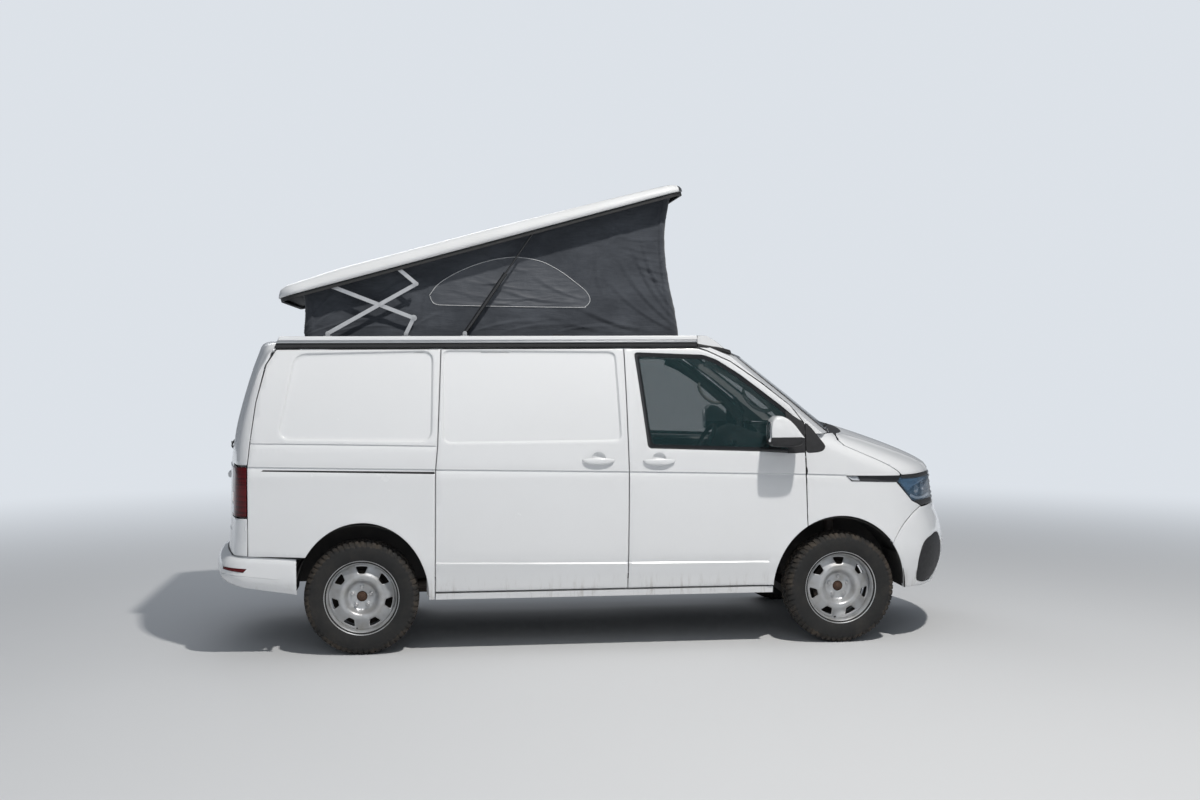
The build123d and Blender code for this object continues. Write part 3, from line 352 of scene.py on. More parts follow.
class Profile:
    """Smooth end profile of the van: where its plan outline's tip lies at each height."""

    def __init__(self, points, direction, arc_r, corner_r, half):
        self.line = curve_through(points)
        steps = np.hypot(*np.diff(self.line, axis=0).T)
        self.length = np.concatenate(([0], np.cumsum(steps)))
        self.direction, self.arc_r, self.corner_r, self.half = direction, arc_r, corner_r, half
        self.corner_y = corner_y = half - corner_r
        self.reach = math.sqrt((arc_r - corner_r) ** 2 - corner_y ** 2)
        self.turn = math.atan2(self.reach, corner_y)
        self.corner_length = corner_r * self.turn
        self.arc_angle = math.asin(corner_y / (arc_r - corner_r))
        self.centre = self.corner_length + arc_r * self.arc_angle

    def v_of_z(self, z):
        return float(np.interp(z, self.line[:, 1], self.length))

    def at(self, v):
        """Tip x and height at a length along the profile."""
        x, z = (float(np.interp(v, self.length, self.line[:, k])) for k in (0, 1))
        return x, z

    def corner_x(self, v):
        return self.at(v)[0] - self.direction * (self.arc_r - self.reach)

    def plan(self, w):
        """Forward step from the corner's start, and half width, at a length round the plan outline."""
        if w <= 0:
            return w, self.half
        if w <= self.corner_length:
            a = w / self.corner_r
            return self.corner_r * math.sin(a), self.corner_y + self.corner_r * math.cos(a)
        b = self.arc_angle - (w - self.corner_length) / self.arc_r
        return self.arc_r * math.cos(b) - self.reach, self.arc_r * math.sin(b)

    def w_of_step(self, step):
        """Length round the plan outline for a forward step from the corner's start."""
        if step <= 0:
            return step
        tangent = self.corner_r * math.sin(self.turn)
        if step <= tangent:
            return self.corner_r * math.asin(step / self.corner_r)
        b = math.acos(min(1.0, (step + self.reach) / self.arc_r))
        return self.corner_length + self.arc_r * (self.arc_angle - b)


def three_point(p, q, r):
    """Circle through three points."""
    (ax, ay), (bx, by), (cx, cy) = p, q, r
    d = 2 * (ax * (by - cy) + bx * (cy - ay) + cx * (ay - by))
    a, b, c = ax * ax + ay * ay, bx * bx + by * by, cx * cx + cy * cy
    ux = (a * (by - cy) + b * (cy - ay) + c * (ay - by)) / d
    uy = (a * (cx - bx) + b * (ax - cx) + c * (bx - ax)) / d
    return ux, uy, math.hypot(ax - ux, ay - uy)


LOW_ARC = three_point((945, 560), (952, 780), (948, 1110))
HIGH_ARC = three_point((948, 1110), (907, 1530), (838, 1872))
EDGE_ARC = three_point((838, 1872), (806, 1898), (740, 1908))


def crown(y):
    """Height of the roof at a distance from the middle."""
    y = abs(y)
    if y <= 740:
        return ROOF_Z - 17 * (y / 740) ** 2
    x, z, r = EDGE_ARC
    return z + math.sqrt(max(r * r - (min(y, 838.0) - x) ** 2, 0))


def section(z):
    """The body's half width at a height."""
    if z < 560:
        return 905 + 40 * (z - 330) / 230
    if z <= 1110:
        x, y, r = LOW_ARC
    else:
        x, y, r = HIGH_ARC
    return x + math.sqrt(max(r * r - (z - y) ** 2, 0))


NOSE = Profile(NOSE_POINTS, 1, NOSE_ARC_R, NOSE_CORNER_R, NOSE_HALF)
TAIL = Profile(TAIL_POINTS, -1, TAIL_ARC_R, TAIL_CORNER_R, TAIL_HALF)
# The windscreen in side view, as (x, z), and its radius in plan
SCREEN = [(1800, 1205), (1647, 1330), (1368, 1556), (1039, 1814), (880, 1880)]
SCREEN_R = 2000.0


def screen_x(y, z):
    """How far forward the windscreen's surface lies."""
    front = float(np.interp(z, [p[1] for p in SCREEN], [p[0] for p in SCREEN]))
    return front - SCREEN_R + math.sqrt(SCREEN_R ** 2 - y ** 2)


def end_surface(profile, w, v):
    """Point on the nose or tail, or on the flank beside it; past the middle it is on the van's left."""
    if w > profile.centre:
        p = end_surface(profile, 2 * profile.centre - w, v)
        return Vector((p.x, -p.y, p.z))
    tip, z = profile.at(v)
    step, y = profile.plan(w)
    ease = unit(1 - w / profile.corner_length)
    y -= (profile.half - section(min(z, GUTTER_Z))) * ease * ease * (3 - 2 * ease)
    x = tip - profile.direction * (profile.arc_r - profile.reach - step)
    if profile.direction > 0 and z > 1100:
        share = unit((screen_x(930, max(z, 1205)) - x) / 140)
        y += (max(section(z), y) - y) * share * share * (3 - 2 * share)
    if z > 1700:
        lowered = min((z - 1700) / 200, 1.0)
        z -= (ROOF_Z - crown(y)) * lowered * lowered * (3 - 2 * lowered)
    return Vector((x, -y, z))


def nose_surface(w, v):
    return end_surface(NOSE, w, v)


def tail_surface(w, v):
    return end_surface(TAIL, w, v)


def locate(surface, target, start, axes=(0, 2)):
    """Parameters of the surface point whose two named coordinates are the target's."""
    w, v = start
    i, k = axes
    for _ in range(40):
        p = surface(w, v)
        e, f = target[0] - p[i], target[1] - p[k]
        if abs(e) + abs(f) < 0.02:
            break
        a = (surface(w + 1, v) - surface(w - 1, v)) / 2
        b = (surface(w, v + 1) - surface(w, v - 1)) / 2
        scale = a[i] * b[k] - b[i] * a[k]
        if abs(scale) < 1e-3:
            scale = 1e-3
        w += max(-50, min(50, (e * b[k] - b[i] * f) / scale))
        v += max(-50, min(50, (a[i] * f - e * a[k]) / scale))
    return w, v


def side_surface(x, z):
    """Point on the straight flank."""
    return Vector((x, -section(z), z))


def on_nose(point):
    """Side-view point as lengths round and up the nose."""
    x, z = point
    v = NOSE.v_of_z(z)
    return locate(nose_surface, point, (NOSE.w_of_step(x - NOSE.corner_x(v)), v))


def on_tail(point):
    x, z = point
    v = TAIL.v_of_z(z)
    return locate(tail_surface, point, (TAIL.w_of_step(TAIL.corner_x(v) - x), v))


def facing(profile, y, z):
    """Point of the nose or tail given by its place across the van, right side negative, and its height."""
    surface = nose_surface if profile is NOSE else tail_surface
    v = profile.v_of_z(z)
    if abs(y) < 1:
        return profile.centre, v
    w, v = locate(surface, (-abs(y), z), (profile.centre - abs(y), v), (1, 2))
    return (w, v) if y < 0 else (2 * profile.centre - w, v)


def square_to(surface, u, v):
    """Direction square to a surface, on one side of it or the other."""
    along = surface(u + 2.0, v) - surface(u - 2.0, v)
    return along.cross(surface(u, v + 2.0) - surface(u, v - 2.0)).normalized()


def both_sides(points, profile):
    """Outline carried over the middle: its own points, then the same points on the other side."""
    return points + [(2 * profile.centre - w, v) for w, v in points[::-1]]


# Mesh tools

def dense(points, step=18.0, closed=True):
    """The same outline with points no further apart than a step."""
    result = []
    pairs = zip(points, points[1:] + (points[:1] if closed else []))
    for (ax, ay), (bx, by) in pairs:
        count = max(1, int(math.hypot(bx - ax, by - ay) / step))
        result += [(ax + (bx - ax) * k / count, ay + (by - ay) * k / count) for k in range(count)]
    if not closed:
        result.append(points[-1])
    return result


def area(points):
    return 0.5 * sum(a[0] * b[1] - b[0] * a[1] for a, b in zip(points, points[1:] + points[:1]))


def inset(points, distance):
    """Closed outline moved inwards."""
    points = [p for i, p in enumerate(points) if math.dist(p, points[i - 1]) > 0.01]
    turn = 1 if area(points) > 0 else -1
    moved = []
    for i, (x, y) in enumerate(points):
        (xa, ya), (xb, yb) = points[i - 1], points[(i + 1) % len(points)]
        before, after = math.hypot(x - xa, y - ya), math.hypot(xb - x, yb - y)
        nx = -turn * ((y - ya) / before + (yb - y) / after)
        ny = turn * ((x - xa) / before + (xb - x) / after)
        size = max(nx * nx + ny * ny, 0.8)
        moved.append((x + 2 * distance * nx / size, y + 2 * distance * ny / size))
    return moved


def rounded(points, radius, steps=5):
    """Closed outline with its corners rounded."""
    result = []
    count = len(points)
    for i in range(count):
        a, p, b = (np.array(points[k % count], float) for k in (i - 1, i, i + 1))
        to_a, to_b = a - p, b - p
        la, lb = np.hypot(*to_a), np.hypot(*to_b)
        r = min(radius, la * 0.45, lb * 0.45)
        start, end = p + to_a / la * r, p + to_b / lb * r
        for k in range(steps + 1):
            t = k / steps
            result.append(tuple((1 - t) ** 2 * start + 2 * t * (1 - t) * p + t * t * end))
    return result


def away(points, outline):
    """Signed distance of many points to a closed outline, positive inside."""
    pts = np.asarray(points, float)
    poly = np.asarray(outline, float)
    nxt = np.roll(poly, -1, axis=0)
    best = np.full(len(pts), 1e9)
    inside = np.zeros(len(pts), bool)
    for (ax, ay), (bx, by) in zip(poly, nxt):
        dx, dy = bx - ax, by - ay
        t = np.clip(((pts[:, 0] - ax) * dx + (pts[:, 1] - ay) * dy) / max(dx * dx + dy * dy, 1e-9), 0, 1)
        best = np.minimum(best, np.hypot(pts[:, 0] - ax - t * dx, pts[:, 1] - ay - t * dy))
        if ay != by:
            crosses = ((ay > pts[:, 1]) != (by > pts[:, 1])) & (
                pts[:, 0] < (bx - ax) * (pts[:, 1] - ay) / (by - ay) + ax)
            inside ^= crosses
    return np.where(inside, best, -best)


def beside(points, line):
    """Signed distance of many points to an open line, positive on its left."""
    pts = np.asarray(points, float)
    best = np.full(len(pts), 1e9)
    side = np.ones(len(pts))
    for (ax, ay), (bx, by) in zip(line, line[1:]):
        dx, dy = bx - ax, by - ay
        t = np.clip(((pts[:, 0] - ax) * dx + (pts[:, 1] - ay) * dy) / (dx * dx + dy * dy), 0, 1)
        d = np.hypot(pts[:, 0] - ax - t * dx, pts[:, 1] - ay - t * dy)
        cross = dx * (pts[:, 1] - ay) - dy * (pts[:, 0] - ax)
        side = np.where(d < best, np.sign(cross) + (cross == 0), side)
        best = np.minimum(best, d)
    return best * side


EDGE_ROUND = [(0.0, 2.4), (0.9, 0.8), (2.6, 0.0)]


def net(outline, holes=(), presses=(), creases=(), step=34.0, edge=EDGE_ROUND):
    """Flat triangle net inside an outline, with the depth of each point below the plain surface.

    presses hold (closed outline, [(distance in, depth), ...]), creases (open line, [(distance, depth), ...]).
    """
    rim = dense(outline)
    borders = [rim] + [dense(hole) for hole in holes]
    points, lines = [], []

    def chain(line, closed):
        base = len(points)
        points.extend(line)
        lines.extend((base + k, base + k + 1) for k in range(len(line) - 1))
        if closed:
            lines.append((base + len(line) - 1, base))

    for k, border in enumerate(borders):
        chain(border, True)
        for distance, _ in edge[1:]:
            chain(inset(border, distance if k == 0 else -distance), True)
    for shape, profile in presses:
        for distance, _ in profile:
            chain(dense(inset(shape, distance) if distance else shape, 24.0), True)
    for line, profile in creases:
        for distance, _ in profile:
            moved = []
            for i, (x, y) in enumerate(line):
                a, b = line[max(i - 1, 0)], line[min(i + 1, len(line) - 1)]
                length = math.hypot(b[0] - a[0], b[1] - a[1])
                moved.append((x - (b[1] - a[1]) / length * distance, y + (b[0] - a[0]) / length * distance))
            chain(dense(moved, 30.0, closed=False), False)
    xs, ys = [p[0] for p in rim], [p[1] for p in rim]
    grid = np.array([(x, y) for x in np.arange(min(xs) + step / 2, max(xs), step)
                     for y in np.arange(min(ys) + step / 2, max(ys), step)])
    keep = away(grid, rim) > step * 0.35
    for hole in borders[1:]:
        keep &= away(grid, hole) < -step * 0.35
    fixed = np.array(points)
    for i, p in enumerate(grid):
        if keep[i] and np.min(np.abs(fixed - p).sum(axis=1)) < step * 0.3:
            keep[i] = False
    points.extend(map(tuple, grid[keep]))
    flat, _, faces, _, _, _ = delaunay_2d_cdt([Vector(p) for p in points], lines, [], 0, 0.02)
    flat = np.array([tuple(p) for p in flat])
    faces = np.array([f for f in faces if len(f) == 3])
    middle = flat[faces].mean(axis=1)
    good = away(middle, rim) > 0
    for hole in borders[1:]:
        good &= away(middle, hole) < 0
    faces = faces[good]
    depth = np.zeros(len(flat))
    near = np.abs(away(flat, rim))
    for hole in borders[1:]:
        near = np.minimum(near, np.abs(away(flat, hole)))
    depth += np.interp(near, *zip(*edge))
    for shape, profile in presses:
        depth += np.interp(away(flat, shape), *zip(*profile))
    for line, profile in creases:
        depth += np.interp(beside(flat, line), *zip(*profile))
    return flat, faces, depth


def make(name, points, faces, material, body="body", slot=None, smooth=30.0, thick=0.0, mirror=False):
    """Mesh object from points in millimetres, riding on a body; its slot is looked up but not given to it."""
    mesh = bpy.data.meshes.new(name)
    if mirror:
        points = [(p[0], -p[1], p[2]) for p in points]
        faces = [tuple(reversed(f)) for f in faces]
    mesh.from_pydata([tuple(c * MM for c in p) for p in points], [],
                     [tuple(int(i) for i in f) for f in faces])
    mesh.validate()
    mesh.polygons.foreach_set("use_smooth", [True] * len(mesh.polygons))
    mesh.set_sharp_from_angle(angle=math.radians(smooth))
    made = bpy.data.objects.new(name, mesh)
    scene.collection.objects.link(made)
    mesh.materials.append(material)
    if thick:
        wall = made.modifiers.new("wall", "SOLIDIFY")
        wall.thickness = thick * MM
        wall.offset = -1
    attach(made, body)
    slot = slot or SLOT_OF.get(material)
    return made


def plate(name, points, material, thick, body="body", **rest):
    """Flat piece of one face."""
    return make(name, points, [tuple(range(len(points)))], material, body, thick=thick, **rest)


def lofted(name, rings, material, body="body", closed=True, caps=True, **rest):
    """Skin over rings of points; each ring closes on itself, and the two ends may be capped."""
    count = len(rings[0])
    points = [p for ring in rings for p in ring]
    faces = []
    for i in range(len(rings) - 1):
        for k in range(count if closed else count - 1):
            a, b = i * count + k, i * count + (k + 1) % count
            faces.append((a, b, b + count, a + count))
    if caps:
        faces.append(tuple(range(count))[::-1])
        last = (len(rings) - 1) * count
        faces.append(tuple(range(last, last + count)))
    return make(name, points, faces, material, body, **rest)


def tube(name, path, radius, material, body="body", sides=10, closed=False, **rest):
    """Round or, with two radii, oval bar along a path."""
    wide, high = radius if isinstance(radius, tuple) else (radius, radius)
    rings = []
    count = len(path)
    for i in range(count):
        a = Vector(path[i - 1]) if (closed or i) else Vector(path[0])
        b = Vector(path[(i + 1) % count]) if (closed or i < count - 1) else Vector(path[-1])
        ahead = (b - a).normalized()
        across = ahead.cross(UP)
        across = across.normalized() if across.length > 0.05 else ACROSS.cross(ahead).normalized()
        over = across.cross(ahead).normalized()
        rings.append([Vector(path[i]) + across * wide * math.cos(2 * math.pi * k / sides)
                      + over * high * math.sin(2 * math.pi * k / sides) for k in range(sides)])
    if closed:
        rings.append(rings[0])
    return lofted(name, rings, material, body, caps=not closed, **rest)


def compact(faces):
    """The points that faces use, and the faces as places in that list."""
    used = np.unique(faces)
    index = {int(k): i for i, k in enumerate(used)}
    return used, [tuple(index[int(i)] for i in f) for f in faces]


def drape(name, surface, outline, material, thick, body="body", holes=(), presses=(), creases=(), step=34.0,
          edge=EDGE_ROUND, mirror=False, slot=None, lift=0.0):
    """Pressed sheet over a surface: a flat net laid on it, pushed in by each point's depth."""
    flat, faces, depth = net(outline, holes, presses, creases, step, edge)
    used, triangles = compact(faces)
    points = []
    for k in used:
        u, v = flat[k]
        p = surface(u, v)
        out = square_to(surface, u, v)
        if out.dot(p - Vector((0.6 * p.x, 0, 1000))) < 0:
            out = -out
        points.append(p + out * (lift - depth[k]))
    a, b, c = (points[i] for i in triangles[len(triangles) // 2])
    if (b - a).cross(c - a).dot(a - Vector((0.6 * a.x, 0, 1000))) < 0:
        triangles = [tuple(reversed(t)) for t in triangles]
    return make(name, points, triangles, material, body, slot, thick=thick, mirror=mirror)


# Seams and pressed lines of the flanks, as (x, z) in the side view

REAR_SEAM = [(-1958, 1868), (-2017, 1777), (-2076, 1550), (-2110, 1311), (-2128, 1150), (-2128, 852)]
C_SEAM = [(-964, 1868), (-989, 1274), (-1003, 1120), (-1010, 330)]
B_SEAM = [(170, 1868), (189, 1112), (181, 376)]
PILLAR_SEAM = [(640, 1868), (700, 1850), (845, 1783), (1034, 1650), (1215, 1507), (1297, 1400), (1306, 1189)]
DOOR_GLASS = [(250, 1828), (322, 1262), (1040, 1235), (1250, 1222), (1250, 1405),
              (1150, 1492), (893, 1690), (750, 1782), (668, 1812)]
SILL_TOP = 376.0
BUMPER_TOP = 604.0 + SEAM_HALF
CORNER_FOOT = 622.0
FRONT_ARCH = (1532.0, 352.0, 424.0, 456.0)
REAR_ARCH = (-1452.0, 352.0, 402.0, 460.0)


def arch(shape, start, end, count=40, grow=0.0):
    """Wheel arch points from one angle to another, in degrees from the top, forwards positive."""
    x, z, a, b = shape
    return [(x + (a + grow) * math.sin(math.radians(t)), z + (b + grow) * math.cos(math.radians(t)))
            for t in np.linspace(start, end, count)]


def soft_line(*points):
    return [tuple(p) for p in curve_through(points, 5)]


# Each pressed line with its section, as (distance above the line, depth)
BELT = soft_line((-2124, 1162), (-1003, 1134), (186, 1107), (1306, 1078), (1420, 1074))
UPPER = soft_line((-2106, 1303), (-1550, 1291), (-1002, 1277))
SILL = soft_line((-1060, 564), (-121, 545), (1070, 532))
BELT_SECTION = [(-70, 0.0), (-30, 1.6), (-5, 7.0), (-1.5, 8.5), (1.0, 0.0), (30, -0.6), (70, 0.0)]
UPPER_SECTION = [(-30, 0.0), (-5, 5.6), (-1.5, 7.0), (1.0, 0.0), (20, -0.8), (50, 0.0)]
SILL_SECTION = [(-90, 0.0), (-30, -3.4), (-6, -4.6), (1.5, 3.6), (8, 3.2), (60, 0.0)]
FLARE = [(-12, -9.0), (10, -9.0), (26, -7.6), (60, -4.0), (100, -1.2), (150, 0.0)]
FIELD = [(-22, 0.0), (-6, -1.0), (0, 1.0), (6, 9.5), (12, 13.0), (26, 13.0)]
CUP = [(-6, 0.0), (0, 0.8), (5, 7.0), (14, 15.0), (28, 21.0)]
SLOT = [(-2.0, 0.0), (0.0, 1.2), (1.5, 16.0), (4.0, 18.0)]
QUARTER_FIELD = rounded([(-1948, 1322), (-1850, 1842), (-1010, 1860), (-1022, 1300)], 75, 8)
MIDDLE_FIELD = rounded([(-955, 1862), (118, 1850), (146, 1294), (-955, 1290)], 50, 8)
RAIL_SLOT = [(-2044, 1133), (-2034, 1142), (-1007, 1119), (-1007, 1105)]
FUEL_FLAP = rounded([(-40, 830), (-40, 1000), (120, 1000), (120, 830)], 34, 6)
FLAP_GAP = [(-3, 0), (0, 1), (1, 9), (3, 9), (4, 1), (7, 0)]
HANDLES = {"slider": (-3.0, 1180.0), "door": (376.0, 1172.0)}


def cup(place):
    """Hollow behind a door handle, round above and nearly flat below."""
    x, z = place
    return [(x + 46 * math.cos(a), z + 6 + (44 if a < math.pi else 16) * math.sin(a))
            for a in turns(32)]


def pull_handle(name, place, body, mirror=False):
    """Lens-shaped pull handle that stands off the skin over its cup."""
    x, z = place
    rings = []
    for t in np.linspace(-1, 1, 33):
        fat = math.sqrt(max(1 - t * t, 0.0))
        high, deep = 3.0 + 14.0 * fat ** 1.2, 2.5 + 4.5 * fat
        stand = 2.0 + 19.0 * fat ** 0.7
        rings.append([(x + 101 * t, -(section(z) + stand + deep * math.cos(a)),
                       z - 5 * fat + high * math.sin(a) * (1.0 if math.sin(a) > 0 else 1.35))
                      for a in turns(16)])
    return lofted(name, rings, PAINT, body, mirror=mirror, smooth=45)


def skin(name, outline, wall, node, body="body", surface=side_surface, **rest):
    """One painted panel laid over the body, with a seam gap all round."""
    piece = drape(name, surface, inset(outline, SEAM_HALF), PAINT, wall, body, **rest)
    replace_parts(piece, node)
    return piece


BELT_CREASE, UPPER_CREASE, SILL_CREASE = (BELT, BELT_SECTION), (UPPER, UPPER_SECTION), (SILL, SILL_SECTION)
REAR_LIP = (arch(REAR_ARCH, -92, 92, 60), FLARE)
FRONT_LIP = (arch(FRONT_ARCH, -92, 92, 60), FLARE)
BUMPER_REACH = math.degrees(math.asin((BUMPER_TOP - REAR_ARCH[1]) / REAR_ARCH[3]))


def quarter_outline(front):
    """Rear quarter from its front seam, round the wheel arch and up the tailgate's seam."""
    start = math.degrees(math.acos((330 + 2 - REAR_ARCH[1]) / REAR_ARCH[3]))
    return [*front, (-1049, 330), *arch(REAR_ARCH, start, BUMPER_REACH - 90, 64),
            (-2128, CORNER_FOOT - SEAM_HALF), *REAR_SEAM[::-1]]


def build_flanks():
    """Rear quarters, sliding door and the fixed left side."""
    skin("sliding_door_skin", C_SEAM[:3] + [(-1010, SILL_TOP)] + B_SEAM[::-1], DOOR_WALL, "sliding_door",
         presses=[(MIDDLE_FIELD, FIELD), (cup(HANDLES["slider"]), CUP)], creases=[BELT_CREASE, SILL_CREASE])
    pull_handle("slider_handle", HANDLES["slider"], "body")
    drape("rail_slot_lining", side_surface, inset(RAIL_SLOT, 0.8), SEAL, 2, lift=-5)
    skin("quarter_right_skin", quarter_outline(C_SEAM), BODY_WALL, "side_panel_right",
         presses=[(QUARTER_FIELD, FIELD), (RAIL_SLOT, SLOT)], creases=[BELT_CREASE, UPPER_CREASE, REAR_LIP])
    front = B_SEAM[:2] + [(181, 376), (-1006, 376), (-1010, 330)]
    skin("long_side_left_skin", quarter_outline(front), BODY_WALL, "side_panel_left", mirror=True,
         presses=[(QUARTER_FIELD, FIELD), (MIDDLE_FIELD, FIELD), (FUEL_FLAP, FLAP_GAP)],
         creases=[BELT_CREASE, UPPER_CREASE, SILL_CREASE, REAR_LIP])


DOOR_OUTLINE = [*B_SEAM[::-1], *PILLAR_SEAM, (1318, 748), *arch(FRONT_ARCH, -31, -87, 34), (1108, 376)]
GLASS_HOLE = rounded(inset(DOOR_GLASS, -15), 26, 5)
CORNER_TRIM = [(1176, 1478), (1299, 1403), (1306, 1389), (1308, 1209), (1190, 1206)]


def build_front_doors():
    """Cab doors with their black window frames, handles and mirror feet."""
    for side, flip in SIDES:
        body = f"front_door_{side}"
        skin(f"front_door_{side}_skin", DOOR_OUTLINE, DOOR_WALL, body, body, mirror=flip, holes=[GLASS_HOLE],
             presses=[(cup(HANDLES["door"]), CUP)], creases=[BELT_CREASE, SILL_CREASE, FRONT_LIP])
        pull_handle(f"door_handle_{side}", HANDLES["door"], body, flip)
        drape(f"window_frame_{side}", side_surface, rounded(inset(DOOR_GLASS, -14.2), 26, 5), GLOSS_BLACK, 26,
              body, holes=[rounded(inset(DOOR_GLASS, 13), 20, 5)], lift=0.6, mirror=flip,
              edge=[(0, 3.0), (3, 0.0), (8, -0.6)])
        drape(f"mirror_foot_{side}", side_surface, inset(CORNER_TRIM, 1.0), BLACK_TRIM, 10, body, lift=3.2,
              mirror=flip, edge=[(0, 4.0), (4, 0.0), (8, -0.6)])
        build_mirror(side, body, flip)


MIRROR_SHAPE = soft_line((1043, 1312), (1042, 1370), (1046, 1412), (1070, 1443), (1106, 1449), (1138, 1438),
                         (1170, 1416), (1200, 1384), (1230, 1345), (1256, 1312))
MIRROR_BASE = soft_line((1256, 1310), (1252, 1290), (1236, 1270), (1190, 1258), (1120, 1256), (1060, 1262),
                        (1044, 1280), (1043, 1310))
MIRROR_BACK, MIRROR_X, MIRROR_Z = 1043, 1140.0, 1345.0
# The mirror housing's sections outwards, as (y, share of its full outline)
MIRROR_SHARES = ((-992, 0.60), (-994, 0.80), (-1000, 0.92), (-1012, 0.98), (-1040, 1.0), (-1090, 1.0),
                 (-1120, 0.985), (-1136, 0.95), (-1144, 0.88), (-1148, 0.76))


def build_mirror(side, body, flip):
    """White cap over a black base, with its glass facing back and a black arm from the door."""
    for name, line, material, slot in (("cap", MIRROR_SHAPE, PAINT, "mirror_housing"),
                                       ("base", MIRROR_BASE, BLACK_TRIM, None)):
        (ax, az), (bx, bz) = line[0], line[-1]
        loop = list(line) + [(ax * (1 - t) + bx * t, az * (1 - t) + bz * t)
                             for t in np.linspace(1, 0, 8)[1:-1]]
        rings = []
        for y, size in MIRROR_SHARES:
            back = 1.0 if size > 0.9 else size
            ring = []
            for x, z in loop:
                middle, scale = (MIRROR_BACK, back) if x < MIRROR_X else (MIRROR_X, size)
                ring.append((middle + (x - middle) * scale, y, MIRROR_Z + (z - MIRROR_Z) * size))
            rings.append(ring)
        shell = lofted(f"mirror_{name}_{side}", rings, material, body, slot=slot, mirror=flip, smooth=40)
        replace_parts(shell, f"mirror_{side}")
    rings = []
    for k, (y, r) in enumerate(((-926, 1.25), (-950, 1.0), (-985, 0.85), (-1010, 0.9))):
        rings.append([(1196 - 10 * k + r * 46 * math.cos(a), y, 1262 + 8 * k + r * 20 * math.sin(a))
                      for a in turns(16)])
    lofted(f"mirror_arm_{side}", rings, BLACK_TRIM, body, mirror=flip, smooth=50)
    glass = rounded([(-1012, 1284), (-1012, 1418), (-1126, 1412), (-1132, 1290)], 26, 6)
    plate(f"mirror_glass_{side}", [(1041.5, y, z) for y, z in glass], CHROME, 1.5, body, mirror=flip)


build_flanks()
build_front_doors()

# Nose: wings, bonnet, lamps, grille and bumper

HOOD_SHUT = [(1530, 1287), (1566, 1250), (1689, 1197), (1814, 1142), (1891, 1100), (1931, 1068)]
LAMP_EDGE = [(1931, 1054), (1905, 1012), (2020, 892), (2101, 852)]
BUMPER_SEAM = soft_line((2101, 852), (2030, 818), (1952, 752), (1900, 682), (1872, 628))
COWL = [(1866, 1205), (1713, 1330), (1434, 1556)]
GRILLE_HALF, GRILLE_LOW, GRILLE_TOP = 564.0, 856.0, 1048.0
LAMP_BOWLS = ((-690, 965, 34), (-800, 955, 30))
# A lamp bowl's section, as (distance forwards, share of its radius)
BOWL_SECTION = ((0, 1.25), (14, 1.2), (16, 1.05), (10, 0.98), (16, 0.8), (21, 0.5), (23, 0.12))


def nose_line(*points):
    return [on_nose(p) for p in points]


def nose_face(*places):
    return [facing(NOSE, y, z) for y, z in places]


def cowl_line(w):
    """Where the bonnet ends at the foot of the windscreen, as a point of the nose surface."""
    low, high = NOSE.v_of_z(1205), NOSE.v_of_z(1375)
    for _ in range(30):
        v = (low + high) / 2
        p = nose_surface(w, v)
        foot = np.interp(p.z, [z for _, z in COWL], [x for x, _ in COWL])
        foot -= SCREEN_R - math.sqrt(SCREEN_R ** 2 - p.y ** 2) + 30 * unit((abs(p.y) - 540) / 190) ** 2
        low, high = (v, high) if p.x > foot else (low, v)
    return w, low


def inward(place, depth):
    """Point under the nose's skin at one place of its net."""
    out = square_to(nose_surface, *place)
    return nose_surface(*place) - out * (depth if out.x > 0 else -depth)


def build_wings_and_bonnet():
    lip = (nose_line(*arch(FRONT_ARCH, -30, 92, 50)), FLARE)
    belt = (nose_line(*soft_line((1300, 1078.5), (1420, 1074), (1560, 1069))), BELT_SECTION)
    outline = [(1301, 1325), (1306, 1189), (1318, 748), *arch(FRONT_ARCH, -30, 53, 44)[1:],
               *BUMPER_SEAM[::-1][1:], *LAMP_EDGE[::-1][1:], *HOOD_SHUT[::-1], (1530, 1325)]
    outline = nose_line(*dense(outline, 60.0))
    for side, flip in SIDES:
        skin(f"wing_{side}", outline, SKIN, "front_wings", mirror=flip, surface=nose_surface,
             creases=[lip, belt])
    shut = nose_line(*dense(HOOD_SHUT, 50.0, closed=False))
    front_v = NOSE.v_of_z(1056)
    rear = [cowl_line(w) for w in np.linspace(shut[0][0] + 12, NOSE.centre, 18)]
    hood = [(NOSE.centre, front_v), (shut[-1][0] + 6, front_v), *shut[::-1], *rear]
    pleat = [(-60, 0.0), (-18, -2.4), (-3, -4.2), (3, -4.2), (18, -2.4), (60, 0.0)]
    creases = []
    for k in (-1, 1):
        line = nose_face(*((k * y, z) for y, z in ((690, 1296), (660, 1240), (600, 1160), (540, 1080))))
        creases.append((soft_line(*line), pleat))
    skin("bonnet_skin", inset(both_sides(hood, NOSE), 1.6), 10, "bonnet", body="bonnet", surface=nose_surface,
         creases=creases)
    for side, flip in SIDES:
        tube(f"bonnet_gap_{side}", [inward((w + 7, v), 12) for w, v in shut], (7, 5), SEAL, mirror=flip)


